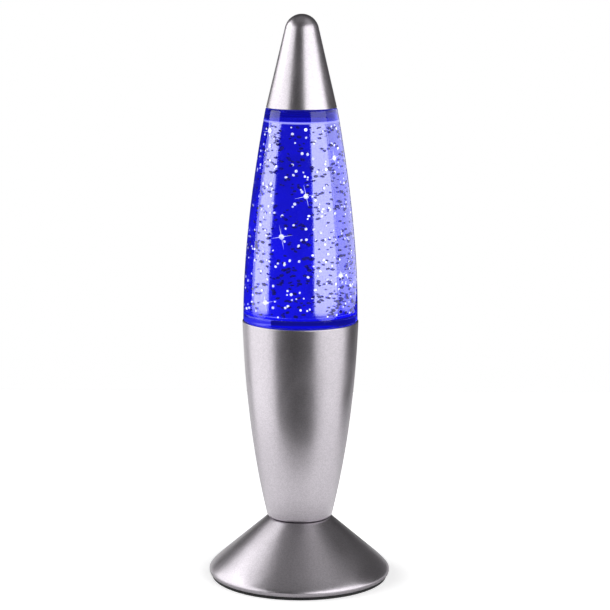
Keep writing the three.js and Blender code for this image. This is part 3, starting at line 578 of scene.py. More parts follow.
class Finish:
    """A material while it is being built round one Principled shader."""

    def __init__(self, name: str) -> None:
        """Makes the material with its shader and the place that textures read.

        Args:
            name: The material's name.
        """
        self.material = bpy.data.materials.new(name)
        self.material.use_nodes = True
        self.tree = Tree(self.material.node_tree)
        self.shader = self.material.node_tree.nodes["Principled BSDF"]
        self.place = self.tree.node("ShaderNodeTexCoord").outputs["Object"]

    def set(self, **values: object) -> None:
        """Sets plain values on the shader; a name's underscores stand for spaces."""
        for key, value in values.items():
            self.shader.inputs[key.replace("_", " ")].default_value = Tree.opaque(value)

    def feed(self, name: str, value: bpy.types.NodeSocket) -> None:
        """Links a value that changes over the surface to one of the shader's inputs."""
        self.tree.feed(self.shader.inputs[name], value)

    def roughen(
        self, mask: bpy.types.NodeSocket, low: float, high: float, start: float = 0.0
    ) -> None:
        """Lets a mask move the roughness from one value to another.

        Args:
            mask: The mask.
            low: The roughness where the mask is empty.
            high: The roughness where the mask is full.
            start: Where in the mask the change starts.
        """
        self.feed("Roughness", self.tree.spread(mask, start, 1.0, low, high))

    def height(self) -> bpy.types.NodeSocket:
        """The height of each point of the surface."""
        return self.tree.part(self.place, "Z")

    def effect(self, group: bpy.types.NodeTree, **values: object) -> bpy.types.Node:
        """Places a shared effect, reading this material's coordinates.

        Args:
            group: The effect's group.
            **values: Values for its other inputs.

        Returns:
            The group's node.
        """
        made = self.tree.node("ShaderNodeGroup", node_tree=group)
        self.tree.feed(made.inputs["Vector"], self.place)
        for key, value in values.items():
            made.inputs[key].default_value = value
        return made

    def bump(self, height: bpy.types.NodeSocket, strength: float, depth: float) -> None:
        """Lets a height shape the surface's normal.

        Args:
            height: The height's socket.
            strength: How strong the bump is, from 0 to 1.
            depth: How deep it is, in metres.
        """
        made = self.tree.node("ShaderNodeBump")
        made.inputs["Strength"].default_value = strength
        made.inputs["Distance"].default_value = depth
        self.tree.feed(made.inputs["Height"], height)
        self.tree.feed(self.shader.inputs["Normal"], made.outputs["Normal"])


@dataclass(frozen=True)
class SilverPaint:
    """Satin silver paint with fine metal flake."""

    tone: Colour = (0.53, 0.497, 0.535)
    dark_flake: Colour = (0.36, 0.338, 0.365)
    flake_share: float = 0.55
    metallic: float = 0.92
    worn_gain: float = 1.25
    wear: float = 0.5
    smooth: float = 0.28
    hazed: float = 0.35
    haze_scale: float = 0.7
    flake_bump: float = 0.35
    flake_depth: float = 0.02 * MM

    def build(self) -> bpy.types.Material:
        """Makes the material.

        Returns:
            The material.
        """
        finish = Finish("silver_paint")
        finish.set(Metallic=self.metallic, IOR=1.5)
        flake = finish.effect(EFFECTS.flake, Scale=1.0)
        haze = finish.effect(EFFECTS.clouds, Scale=self.haze_scale)
        wear = finish.effect(EFFECTS.wear, Amount=self.wear)
        tree = finish.tree
        share = tree.spread(flake.outputs["Tone"], 0.0, 1.0, 0.0, self.flake_share)
        painted = tree.mix(share, self.tone, self.dark_flake)
        worn = tuple(min(1.0, c * self.worn_gain) for c in self.tone)
        finish.feed("Base Color", tree.mix(wear.outputs["Mask"], painted, worn))
        finish.roughen(haze.outputs["Mask"], self.smooth, self.hazed)
        finish.bump(flake.outputs["Height"], self.flake_bump, self.flake_depth)
        return finish.material


@dataclass(frozen=True)
class MouldedPlastic:
    """Moulded plastic with a fine grain."""

    name: str
    tone: Colour
    shade: Colour
    roughness: float = 0.5
    depth: float = 0.03 * MM
    smoother: float = 0.06
    rougher: float = 0.08
    wear: float = 0.6
    worn_gain: float = 1.5
    worn_lift: float = 0.02
    grain_bump: float = 0.4

    def build(self) -> bpy.types.Material:
        """Makes the material.

        Returns:
            The material.
        """
        finish = Finish(self.name)
        grain = finish.effect(EFFECTS.grain, Scale=1.0)
        haze = finish.effect(EFFECTS.clouds, Scale=1.0)
        wear = finish.effect(EFFECTS.wear, Amount=self.wear)
        tree = finish.tree
        mixed = tree.mix(grain.outputs["Mask"], self.tone, self.shade)
        worn = tuple(min(1.0, c * self.worn_gain + self.worn_lift) for c in self.tone)
        finish.feed("Base Color", tree.mix(wear.outputs["Mask"], mixed, worn))
        smooth, rough = self.roughness - self.smoother, self.roughness + self.rougher
        finish.roughen(haze.outputs["Mask"], smooth, rough)
        finish.bump(grain.outputs["Height"], self.grain_bump, self.depth)
        return finish.material


@dataclass(frozen=True)
class BareMetal:
    """Metal with turning or drawing marks and a slight haze."""

    name: str
    tone: Colour
    roughness: float = 0.28
    smoother: float = 0.08
    rougher: float = 0.1
    tarnish: float = 0.72
    grain_scale: float = 0.6
    haze_scale: float = 3.0
    grain_bump: float = 0.15
    grain_depth: float = 0.01 * MM

    def build(self) -> bpy.types.Material:
        """Makes the material.

        Returns:
            The material.
        """
        finish = Finish(self.name)
        finish.set(Metallic=1.0)
        grain = finish.effect(EFFECTS.grain, Scale=self.grain_scale)
        haze = finish.effect(EFFECTS.clouds, Scale=self.haze_scale)
        dark = tuple(c * self.tarnish for c in self.tone)
        finish.feed("Base Color", finish.tree.mix(haze.outputs["Mask"], self.tone, dark))
        smooth, rough = self.roughness - self.smoother, self.roughness + self.rougher
        finish.roughen(grain.outputs["Mask"], smooth, rough)
        finish.bump(grain.outputs["Height"], self.grain_bump, self.grain_depth)
        return finish.material


@dataclass(frozen=True)
class ClearPlastic:
    """Clear polished plastic with faint smears. Its colour is painted blue, deep and with a painted
    blue glow at the floor and just above the liquid, paler elsewhere, in place of the light of the
    lit liquid that shows in it.
    """

    # Painted colours and glow: blue tints and a blue glow in place of the lit liquid's light.
    faint: Colour = (0.80, 0.82, 1.0)
    deep: Colour = (0.025, 0.025, 0.5)
    neck: Colour = (0.55, 0.60, 1.0)
    blend: float = 1.5 * MM
    painted_liquid_glow: Colour = (0.002, 0.002, 0.10)
    dark: Colour = (0.0, 0.0, 0.0)
    ior: float = 1.49
    gloss: float = 0.12
    smear_scale: float = 1.4
    smear_from: float = 0.2
    smooth: float = 0.03
    smeared: float = 0.07

    def build(self) -> bpy.types.Material:
        """Makes the material.

        Returns:
            The material.
        """
        finish = Finish("clear_plastic")
        finish.set(IOR=self.ior, Transmission_Weight=1.0, Specular_IOR_Level=self.gloss)
        finish.set(Emission_Strength=1.0)
        height, tree, half = finish.height(), finish.tree, self.blend / 2
        # Painted blue colour and painted glow, changing with height, in place of the liquid's light
        # showing through the plastic.
        painted_tint, glow = self.deep, self.painted_liquid_glow
        for level, above, above_glow in (
            (low_of("liquid"), self.faint, self.dark),
            (top_of("liquid"), self.deep, self.painted_liquid_glow),
            (top_of("bottle") - NECK_HEIGHT, self.neck, self.dark),
        ):
            share = tree.spread(height, level - half, level + half)
            painted_tint = tree.mix(share, painted_tint, above)
            glow = tree.mix(share, glow, above_glow)
        finish.feed("Base Color", painted_tint)
        finish.feed("Emission Color", glow)
        smears = finish.effect(EFFECTS.clouds, Scale=self.smear_scale).outputs["Mask"]
        finish.roughen(smears, self.smooth, self.smeared, self.smear_from)
        return finish.material


@dataclass(frozen=True)
class LitLiquid:
    """Liquid glowing with the blue light that comes up through the bottle's floor."""

    deep: Colour = (0.0015, 0.001, 0.52)
    bright: Colour = (0.003, 0.002, 0.80)
    # Colour of the painted pale highlight along the liquid's surface.
    surface: Colour = (0.45, 0.45, 1.0)
    dim_base: Colour = (0.0, 0.0, 0.05)
    bright_base: Colour = (0.0, 0.0, 0.12)
    surface_highlight: float = 1.3 * MM
    roughness: float = 0.09
    ior: float = 2.8
    cloud_scale: float = 0.9
    cloud_lift: float = 0.15
    fade_upwards: float = 0.35

    def build(self) -> bpy.types.Material:
        """Makes the material.

        Returns:
            The material.
        """
        finish = Finish("lit_liquid")
        tree = finish.tree
        finish.set(Roughness=self.roughness, IOR=self.ior, Emission_Strength=1.0)
        clouds = finish.effect(EFFECTS.clouds, Scale=self.cloud_scale).outputs["Mask"]
        height, low, high = finish.height(), low_of("liquid"), top_of("liquid")
        up = tree.spread(height, low, high)
        lifted = tree.math("ADD", clouds, self.cloud_lift)
        share = tree.math("MULTIPLY_ADD", up, -self.fade_upwards, lifted)
        glow = tree.mix(share, self.deep, self.bright)
        # A painted pale highlight along the top of the liquid.
        surface_highlight = tree.spread(height, high - self.surface_highlight, high - self.surface_highlight / 2)
        finish.feed("Emission Color", tree.mix(surface_highlight, glow, self.surface))
        finish.feed("Base Color", tree.mix(clouds, self.dim_base, self.bright_base))
        return finish.material


@dataclass(frozen=True)
class GlitterFlake:
    """Thin metallised flakes with a painted glow, lit or in shade: lit ones glow bright as painted
    glints, ones in painted shade are dark with a faint painted blue glow.
    """

    name: str
    tone: Colour
    glow: Colour
    dim_glow: Colour
    shade: Colour = (0.02, 0.02, 0.2)
    metallic: float = 0.9
    roughness: float = 0.25
    cell_scale: float = 0.25

    def build(self) -> bpy.types.Material:
        """Makes the material.

        Returns:
            The material.
        """
        finish = Finish(self.name)
        tree = finish.tree
        finish.set(Metallic=self.metallic, Roughness=self.roughness, Emission_Strength=1.0)
        flake = finish.effect(EFFECTS.flake, Scale=self.cell_scale)
        finish.feed("Emission Color", tree.mix(flake.outputs["Tone"], self.glow, self.dim_glow))
        finish.feed("Base Color", tree.mix(flake.outputs["Height"], self.tone, self.shade))
        return finish.material


@dataclass(frozen=True)
class GlowingPlastic:
    """Plastic with light behind it, hazed so that it glows unevenly."""

    name: str
    dim: Colour
    bright: Colour
    dim_base: Colour
    bright_base: Colour
    roughness: float
    ior: float
    strength: float
    haze_scale: float

    def build(self) -> bpy.types.Material:
        """Makes the material.

        Returns:
            The material.
        """
        finish = Finish(self.name)
        tree = finish.tree
        finish.set(Roughness=self.roughness, IOR=self.ior, Emission_Strength=self.strength)
        haze = finish.effect(EFFECTS.clouds, Scale=self.haze_scale).outputs["Mask"]
        finish.feed("Emission Color", tree.mix(haze, self.dim, self.bright))
        finish.feed("Base Color", tree.mix(haze, self.dim_base, self.bright_base))
        return finish.material


LIGHT_DOME = GlowingPlastic(
    name="lamp_lens",
    dim=(0.10, 0.12, 1.0),
    bright=(0.32, 0.38, 1.0),
    dim_base=(0.10, 0.12, 1.0),
    bright_base=(0.32, 0.38, 1.0),
    roughness=0.12,
    ior=1.5,
    strength=1.6,
    haze_scale=6.0,
)
LIGHT_WINDOW = GlowingPlastic(
    name="glow_window",
    dim=(0.03, 0.03, 0.8),
    bright=(0.12, 0.13, 1.0),
    dim_base=(0.1, 0.1, 0.6),
    bright_base=(0.2, 0.2, 0.8),
    roughness=0.35,
    ior=1.49,
    strength=1.0,
    haze_scale=1.2,
)
# Lit flakes, whose bright painted glow stands in for glints, and flakes in painted shade with a
# faint painted blue glow.
BRIGHT_FLAKE = GlitterFlake(
    name="bright_flake", tone=(0.8, 0.85, 1.0), glow=(1.15, 1.15, 1.15), dim_glow=(0.62, 0.64, 1.0)
)
DARK_FLAKE = GlitterFlake(
    name="dark_flake",
    tone=(0.01, 0.01, 0.06),
    glow=(0.003, 0.002, 0.09),
    dim_glow=(0.006, 0.004, 0.20),
    shade=(0.008, 0.008, 0.1),
    metallic=0.0,
    roughness=0.7,
)


@dataclass(frozen=True)
class Coat:
    """A finished material with the slot that it belongs to."""

    material: bpy.types.Material
    slot: Slot


class Palette:
    """Every finish, built once."""

    def __init__(self) -> None:
        """Builds the materials."""
        self.silver = Coat(SilverPaint().build(), Slot.SILVER)
        self.black = self.plastic(
            Slot.BLACK_PLASTIC, "black_plastic", (0.018, 0.018, 0.021), (0.03, 0.03, 0.034)
        )
        self.rubber = self.plastic(
            Slot.RUBBER, "black_rubber", (0.012, 0.012, 0.013), (0.02, 0.02, 0.021), 0.75, 0.05 * MM
        )
        self.white = self.plastic(
            Slot.WHITE_PLASTIC, "white_plastic", (0.78, 0.78, 0.76), (0.72, 0.72, 0.70)
        )
        self.steel = Coat(BareMetal("plated_steel", (0.62, 0.62, 0.63)).build(), Slot.STEEL)
        self.brass = Coat(BareMetal("turned_brass", (0.75, 0.56, 0.26)).build(), Slot.BRASS)
        self.magnet = Coat(BareMetal("nickel_plate", (0.66, 0.65, 0.63), 0.16).build(), Slot.MAGNET)
        self.sleeve = self.plastic(
            Slot.CELL, "cell_sleeve", (0.03, 0.19, 0.12), (0.025, 0.16, 0.10), 0.3, 0.005 * MM
        )
        self.board = self.plastic(
            Slot.BOARD, "circuit_board", (0.02, 0.16, 0.06), (0.015, 0.12, 0.045)
        )
        self.red_lead = self.plastic(
            Slot.RED_LEAD, "red_insulation", (0.5, 0.02, 0.015), (0.42, 0.02, 0.015)
        )
        self.black_lead = self.plastic(
            Slot.BLACK_LEAD, "black_insulation", (0.02, 0.02, 0.02), (0.03, 0.03, 0.03)
        )
        self.clear = Coat(ClearPlastic().build(), Slot.CLEAR)
        self.liquid = Coat(LitLiquid().build(), Slot.LIQUID)
        self.lens = Coat(LIGHT_DOME.build(), Slot.LIGHT)
        self.window = Coat(LIGHT_WINDOW.build(), Slot.CLEAR)
        self.bright_flake = Coat(BRIGHT_FLAKE.build(), Slot.LIQUID)
        self.dark_flake = Coat(DARK_FLAKE.build(), Slot.LIQUID)

    @staticmethod
    def plastic(slot: Slot, *look: object) -> Coat:
        """A moulded plastic with its slot; the look is given as MouldedPlastic takes it."""
        return Coat(MouldedPlastic(*look).build(), slot)


# ---------------------------------------------------------------- pieces


@dataclass
class SubAssembly:
    """A group of pieces, with the ways they are put in place."""

    palette: Palette
    made: list[bpy.types.Object] = field(default_factory=list)

    def place(self, piece: bpy.types.Object, body: Body, coat: Coat, *nodes: str) -> None:
        """Gives a piece its finish and the body that it moves with.

        Args:
            piece: The piece.
            body: The body that it rides on.
            coat: Its finish, with its slot.
            *nodes: The model nodes that it stands for.
        """
        piece.data.materials.clear()
        piece.data.materials.append(coat.material)
        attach(piece, body.value)
        if nodes:
            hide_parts(*nodes)
        self.made.append(piece)
        log.info("%s: %d faces, on %s", piece.name, len(piece.data.polygons), body.value)

    def ease(
        self, name: str, node: str, body: Body, coat: Coat, bevel: float = EASED_EDGE
    ) -> None:
        """Puts a copy of a model node with eased edges in the node's place.

        Args:
            name: The new piece's name.
            node: The node that it stands for.
            body: The body that it rides on.
            coat: Its finish.
            bevel: The width of the eased edges.
        """
        self.place(refined(name, node, bevel), body, coat, node)

    def dress(self, node: str, coat: Coat) -> None:
        """Gives a model node that stays in view its finish.

        Args:
            node: The node.
            coat: Its finish.
        """
        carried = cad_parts[node]
        carried.data.materials.clear()
        carried.data.materials.append(coat.material)
        log.info("%s: kept from the model", node)

    def screw(self, node: str, body: Body, head_up: bool = False) -> None:
        """Puts a cross-headed screw in the place of a model screw."""
        self.place(CrossScrew().build(node, head_up), body, self.palette.steel, node)


def low_of(node: str) -> float:
    """A node's lowest height."""
    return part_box(node)[0].z


def top_of(node: str) -> float:
    """A node's highest height."""
    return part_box(node)[1].z


def radius_of(node: str) -> float:
    """A turned node's largest radius."""
    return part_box(node)[1].x


@dataclass(frozen=True)
class CrossScrew:
    """A small steel screw with a rounded head and a cross recess."""

    head_height: float = 0.8 * MM
    shank: float = 1.25 * MM
    point: float = 1.0 * MM
    edge: float = 0.3 * MM
    head_round: float = 0.1 * MM
    arm: float = 1.3 * MM
    arm_width: float = 0.3 * MM
    recess: float = 0.5 * MM
    taper: float = 0.7
    facets: int = 32

    def recess_cutter(self) -> bpy.types.Object:
        """The tapered cross that is cut into the head.

        Returns:
            The cutter.
        """
        a, w = self.arm, self.arm_width
        quarter = [(a, -w), (a, w), (w, w)]
        plan = []
        for turn in ((1, 0), (0, 1), (-1, 0), (0, -1)):
            plan += [(x * turn[0] - y * turn[1], x * turn[1] + y * turn[0]) for x, y in quarter]
        count = len(plan)
        vertices = [(x, y, -self.edge) for x, y in plan]
        vertices += [(x * self.taper, y * self.taper, self.recess) for x, y in plan]
        faces = [list(range(count))[::-1], list(range(count, 2 * count))]
        faces += [(i, (i + 1) % count, count + (i + 1) % count, count + i) for i in range(count)]
        mesh = bpy.data.meshes.new("recess_cutter")
        mesh.from_pydata(vertices, [], faces)
        return new_object("recess_cutter", mesh)

    def build(self, node: str, head_up: bool) -> bpy.types.Object:
        """Makes the screw in the place of a model screw.

        Args:
            node: The model screw.
            head_up: Whether its head is at the top.

        Returns:
            The screw.
        """
        low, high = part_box(node)
        head, length = (high.x - low.x) / 2, high.z - low.z
        corners = [
            (0.0, 0.0, 0.0),
            (head, 0.0, self.edge),
            (head, self.head_height, self.head_round),
            (self.shank, self.head_height, 0.0),
            (self.shank, length - self.point, 0.0),
            (0.0, length, 0.0),
        ]
        piece = turned(f"{node}_cross", outline(corners), facets=self.facets)
        cut_away(piece, self.recess_cutter())
        middle = (low + high) / 2
        place = Matrix.Translation((middle.x, middle.y, high.z if head_up else low.z))
        turn = Matrix.Rotation(math.pi if head_up else 0.0, 4, "X")
        piece.data.transform(place @ turn)
        return piece


@dataclass
class Base(SubAssembly):
    """The cone base with its foot ring and bottom plate."""

    lean: float = 1.15
    wall: float = 1.5 * MM
    ceiling: float = 2.0 * MM
    rim_corner: float = 5.6 * MM
    rim_widest: float = 4.2 * MM
    rim_round: float = 6.5 * MM
    rim_tuck: float = 1.5 * MM
    rim_edge: float = 2.0 * MM
    rim_steps: tuple[int, int] = (12, 8)
    ledge_rise: float = 2.3 * MM
    top_round: float = 1.2 * MM
    foot_width: float = 9.9 * MM
    foot_edge: float = 0.3 * MM
    plate_edge: float = 0.15 * MM
    nut_edge: float = 0.25 * MM
    neck_hole: float = 5.3 * MM
    screws: int = 4

    def cone(self, z: float) -> float:
        """The cone's outer radius at a height."""
        return radius_of("base_shell") - self.lean * (z - self.rim_corner)

    def shell(self) -> None:
        """The silver cone with its rim curled in under it."""
        low = low_of("base_shell")
        top = top_of("base_shell")
        ledge = low + self.ledge_rise
        rim = radius_of("base_shell")
        level_wall = self.wall * math.hypot(1.0, self.lean)
        inner = rim - level_wall
        opening = rim - self.rim_tuck - self.rim_edge
        under_top = top - self.ceiling
        rim_end = self.rim_corner + self.rim_round
        points = [(opening, low)]
        widest = (rim, self.rim_widest)
        lower_steps, upper_steps = self.rim_steps
        cone_start = (self.cone(rim_end), rim_end)
        points += bend((rim - self.rim_tuck, low), (rim, low), widest, lower_steps)
        points += bend(widest, (rim, self.rim_corner), cone_start, upper_steps)[1:]
        edge = (self.cone(top), top)
        points += rounded(points[-1], edge, (self.neck_hole, top), self.top_round)
        points += [(self.neck_hole, top), (self.neck_hole, under_top)]
        points += [(self.cone(under_top) - level_wall, under_top), (inner, self.rim_corner)]
        points += [(inner, ledge), (opening, ledge)]
        piece = turned("base_cone", points, True)
        self.place(piece, Body.STAND, self.palette.silver, "base_shell")

    def foot(self) -> None:
        """The black ring that the lamp stands on."""
        outer = radius_of("foot_ring")
        inner = outer - self.foot_width
        top = top_of("foot_ring")
        plan = ((inner, 0.0), (outer, 0.0), (outer, top), (inner, top))
        corners = [(radius, height, self.foot_edge) for radius, height in plan]
        piece = turned("foot_pad", outline(corners, True), True)
        self.place(piece, Body.STAND, self.palette.rubber, "foot_ring")

    def build(self) -> None:
        """Makes the base's pieces."""
        self.shell()
        self.foot()
        self.ease("bottom_plate", "base_plate", Body.STAND, self.palette.black, self.plate_edge)
        for i in range(self.screws):
            self.screw(f"plate_screw_{i + 1}", Body.STAND)
        for node in ("neck_nut_lower", "neck_nut_upper"):
            self.ease(f"{node}_turned", node, Body.STAND, self.palette.brass, self.nut_edge)
        self.dress("neck_tube", self.palette.steel)


@dataclass
class BatteryPack(SubAssembly):
    """The tray, the cells and their contacts, with the door and the switch."""

    def build(self) -> None:
        """Makes the pack's pieces."""
        black, white = self.palette.black, self.palette.white
        self.ease("cell_tray", "battery_tray", Body.STAND, black)
        for side in ("left", "middle", "right"):
            self.dress(f"cell_{side}", self.palette.sleeve)
            self.dress(f"spring_{side}", self.palette.steel)
            self.dress(f"contact_{side}", self.palette.brass)
        self.ease("cell_door", "battery_door", Body.DOOR, black)
        self.screw("door_screw", Body.DOOR)
        self.ease("switch_box", "switch_housing", Body.STAND, black)
        self.ease("switch_knob", "switch_slider", Body.SWITCH, white)


@dataclass
class VaseBody(SubAssembly):
    """The silver vase with its ledge, floor and thin rim."""

    foot_radius: float = 18.95 * MM
    foot_lean: float = 0.24
    rim_lean: float = 0.035
    wall: float = 1.9 * MM
    floor: float = 2.5 * MM
    foot_round: float = 1.7 * MM
    rim_round: float = 0.7 * MM
    ledge_below_rim: float = 36.5 * MM
    ledge_height: float = 2.8 * MM
    ledge_reach: float = 10.0 * MM
    steps: tuple[int, int, int] = (48, 12, 20)
    neck_hole: float = 5.3 * MM

    def side(self) -> Side:
        """The vase's outer side.

        Returns:
            The side.
        """
        low, top = low_of("body_shell"), top_of("body_shell")
        rim = (radius_of("body_shell"), top)
        return Side((self.foot_radius, low), self.foot_lean, rim, self.rim_lean)

    def build(self) -> None:
        """Makes the vase."""
        side = self.side()
        low, top = side.low[1], side.high[1]
        floor_top = low + self.floor
        ledge_top = top - self.ledge_below_rim
        ledge_low = ledge_top - self.ledge_height
        ledge_inner = side.radius(ledge_top) - self.wall - self.ledge_reach
        outer_steps, rim_steps, inner_steps = self.steps
        outer = side.points(low + self.foot_round, top - self.rim_round, outer_steps)
        points = [(self.neck_hole, low)]
        points += rounded(points[0], (self.foot_radius, low), outer[0], self.foot_round)
        points += outer[1:]
        rim_outer = (side.radius(top), top)
        rim_inner = (side.radius(top) - self.wall, top)
        points += rounded(outer[-1], rim_outer, rim_inner, self.rim_round)
        inner = side.points(top - self.rim_round, ledge_top, rim_steps, self.wall)
        points += rounded(rim_outer, rim_inner, inner[0], self.rim_round)
        points += inner[1:]
        points += [(ledge_inner, ledge_top), (ledge_inner, ledge_low)]
        points += side.points(ledge_low, floor_top, inner_steps, self.wall)
        points += [(self.neck_hole, floor_top)]
        piece = turned("vase_body", points, True)
        self.place(piece, Body.STAND, self.palette.silver, "body_shell")


@dataclass
class Drive(SubAssembly):
    """The carrier frame with the lights, the window, the motor and the leads."""

    lights: int = 4
    frame_screws: int = 3
    dome_steps: int = 10
    dome_facets: int = 32
    flange_width: float = 0.4 * MM
    flange_height: float = 1.0 * MM
    window_edge: float = 0.35 * MM
    board_edge: float = 0.1 * MM

    def lamp_dome(self, index: int) -> None:
        """One light's smooth dome with its flange.

        Args:
            index: Which light, from 1.
        """
        node = f"light_{index}"
        low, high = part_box(node)
        middle = (low + high) / 2
        flange = (high.x - low.x) / 2
        radius = flange - self.flange_width
        height = high.z - low.z
        rise = self.flange_height
        points = [(0.0, 0.0), (flange, 0.0), (flange, rise), (radius, rise)]
        for i in range(self.dome_steps + 1):
            angle = math.pi / 2 * i / self.dome_steps
            points.append((radius * math.cos(angle), height - radius + radius * math.sin(angle)))
        points[-1] = (0.0, height)
        piece = turned(f"lamp_dome_{index}", points, facets=self.dome_facets)
        piece.data.transform(Matrix.Translation((middle.x, middle.y, low.z)))
        self.place(piece, Body.STAND, self.palette.lens, node)

    def build(self) -> None:
        """Makes the drive's pieces."""
        self.ease("carrier_frame", "lamp_frame", Body.STAND, self.palette.white)
        radius = radius_of("light_window")
        low, top = low_of("light_window"), top_of("light_window")
        edge = self.window_edge
        corners = [(0.0, low, 0.0), (radius, low, edge), (radius, top, edge), (0.0, top, 0.0)]
        window = turned("glow_window", outline(corners))
        self.place(window, Body.STAND, self.palette.window, "light_window")
        board = self.palette.board
        self.ease("lamp_circuit", "lamp_board", Body.STAND, board, self.board_edge)
        for i in range(self.lights):
            self.lamp_dome(i + 1)
        for i in range(self.frame_screws):
            self.screw(f"frame_screw_{i + 1}", Body.STAND, True)
        self.dress("motor_can", self.palette.steel)
        self.dress("motor_end_cap", self.palette.white)
        self.dress("lead_red", self.palette.red_lead)
        self.dress("lead_black", self.palette.black_lead)


@dataclass
class Rotor(SubAssembly):
    """The motor's shaft with the holder and its two magnets."""

    holder_edge: float = 0.25 * MM

    def build(self) -> None:
        """Makes the rotor's pieces."""
        white = self.palette.white
        self.ease("magnet_carrier", "magnet_holder", Body.ROTOR, white, self.holder_edge)
        self.dress("motor_shaft", self.palette.steel)
        for node in ("drive_magnet_1", "drive_magnet_2"):
            self.ease(f"{node}_plated", node, Body.ROTOR, self.palette.magnet)


@dataclass
class Bottle(SubAssembly):
    """The clear bottle with its liquid, glitter, stopper and closure."""

    low_lean: float = 0.0
    top_radius: float = 20.5 * MM
    top_lean: float = -0.18
    wall: float = 1.8 * MM
    side_steps: int = 56
    edge_round: float = 0.3 * MM
    floor_round: float = 0.6 * MM
    shoulder_round: float = 0.8 * MM
    neck_round: float = 0.4 * MM
    inside_rounds: tuple[float, float, float] = (0.8 * MM, 2.0 * MM, 1.1 * MM)
    skirt_wall: float = 1.7 * MM
    skirt_outer: float = 31.05 * MM
    skirt_depth: float = 10.0 * MM
    floor_sink: float = 1.1 * MM
    neck_radius: float = 13.6 * MM
    neck_height: float = NECK_HEIGHT
    neck_wall: float = 2.3 * MM
    liquid_gap: float = 1.2 * MM
    liquid_below: float = 0.4 * MM
    liquid_rounds: tuple[float, float] = (2.4 * MM, 0.3 * MM)
    liquid_start: float = 3.0 * MM
    liquid_end: float = 1.2 * MM
    liquid_steps: int = 44
    pocket: float = 15.1 * MM
    pocket_room: float = 1.6 * MM
    pocket_rounds: tuple[float, float] = (1.0 * MM, 0.5 * MM)
    flakes: int = 2000
    bright_share: float = 0.24
    seed: int = 7
    settling: float = 1.25
    drift_angle: float = math.radians(-35)
    sparse_share: float = 0.35
    flake_margin: float = 2 * MM
    flake_thickness: float = 0.06 * MM
    flake_depth: Point = (0.2, 0.9)
    bright_size: Point = (0.5, 0.95)
    bright_squash: Point = (0.7, 1.0)
    bright_spin: float = 3.1
    dark_size: Point = (0.7, 1.6)
    dark_squash: Point = (0.38, 0.65)
    dark_spin: float = 0.35
    flake_tilt: float = 0.2
    flake_corners: tuple[int, ...] = (6, 6, 8, 10)
    # Painted star glints: where each sits round the bottle in degrees, its height and its reach in
    # millimetres.
    painted_star_glints: tuple[tuple[float, float, float], ...] = (
        (-146.0, 264.0, 6.0),
        (-38.0, 249.0, 5.0),
        (-83.5, 228.5, 7.0),
        (-112.0, 205.5, 7.0),
        (-43.0, 183.0, 5.5),
        (-129.0, 167.5, 6.0),
    )
    glint_heart: float = 1.5 * MM
    glint_depth: float = 0.35 * MM
    glint_turn: float = 12.0
    glint_ray: float = 0.16 * MM
    closure_wall: float = 1.1 * MM
    closure_top: float = 1.5 * MM
    ribs: int = 60
    rib_depth: float = 0.3 * MM
    rib_end: float = 1.3 * MM
    facets_per_rib: int = 4
    closure_edge: float = 0.2 * MM
    closure_top_round: float = 0.6 * MM

    def side(self) -> Side:
        """The bottle's outer side, from the rim to the shoulder.

        Returns:
            The side.
        """
        low = low_of("bottle") + self.skirt_depth
        shoulder = top_of("bottle") - self.neck_height
        return Side(
            (radius_of("bottle"), low), self.low_lean, (self.top_radius, shoulder), self.top_lean
        )

    def vessel(self) -> None:
        """The clear bottle, solid up to the liquid's surface.

        The plastic and the liquid bend light alike, so no wall shows between them.
        """
        side = self.side()
        low, shoulder = side.low[1], side.high[1]
        floor_under = low - self.floor_sink
        ceiling = shoulder - self.wall
        neck_top = top_of("bottle")
        neck_inner = self.neck_radius - self.neck_wall
        skirt_inner = self.skirt_outer - self.skirt_wall
        edge, ease = self.shoulder_round, self.edge_round
        neck_inside, shoulder_inside, surface = self.inside_rounds
        foot = [
            (0.0, floor_under, 0.0),
            (skirt_inner, floor_under, self.floor_round),
            (skirt_inner, low - self.skirt_depth, ease),
            (self.skirt_outer, low - self.skirt_depth, ease),
            (self.skirt_outer, low, 0.0),
            (side.radius(low), low, edge),
            (side.radius(low + 2 * edge), low + 2 * edge, 0.0),
        ]
        liquid_top = top_of("liquid")
        top = [
            (side.radius(shoulder - 2 * edge), shoulder - 2 * edge, 0.0),
            (side.radius(shoulder), shoulder, edge),
            (self.neck_radius, shoulder, self.neck_round),
            (self.neck_radius, neck_top, ease),
            (neck_inner, neck_top, ease),
            (neck_inner, ceiling, neck_inside),
            (side.radius(ceiling) - self.wall, ceiling, shoulder_inside),
            (side.radius(liquid_top) - self.wall, liquid_top, surface),
            (0.0, liquid_top, 0.0),
        ]
        points = outline(foot)
        points += side.points(low + 2 * edge, shoulder - 2 * edge, self.side_steps)[1:-1]
        points += outline(top)
        piece = turned("clear_bottle", points)
        self.place(piece, Body.BOTTLE, self.palette.clear, "bottle")

    def filling(self) -> None:
        """The liquid, a little inside the bottle's wall, with room for the stirrer."""
        side = self.side()
        low, top = low_of("liquid"), top_of("liquid")
        gap = self.wall + self.liquid_gap
        pocket_top = top_of("stirrer_retainer") + self.pocket_room
        surface = top - self.liquid_below
        low_round, top_round = self.liquid_rounds
        start_height, end_height = low + self.liquid_start, top - self.liquid_end
        body = side.points(start_height, end_height, self.liquid_steps, gap)
        start = [
            (0.0, pocket_top, 0.0),
            (self.pocket, pocket_top, self.pocket_rounds[0]),
            (self.pocket, low, self.pocket_rounds[1]),
            (body[0][0], low, low_round),
            (*body[0], 0.0),
        ]
        end = [
            (*body[-1], 0.0),
            (side.radius(top) - gap, surface, top_round),
            (0.0, surface, 0.0),
        ]
        points = outline(start) + body[1:-1] + outline(end)
        piece = turned("lit_filling", points)
        self.place(piece, Body.BOTTLE, self.palette.liquid, "liquid")

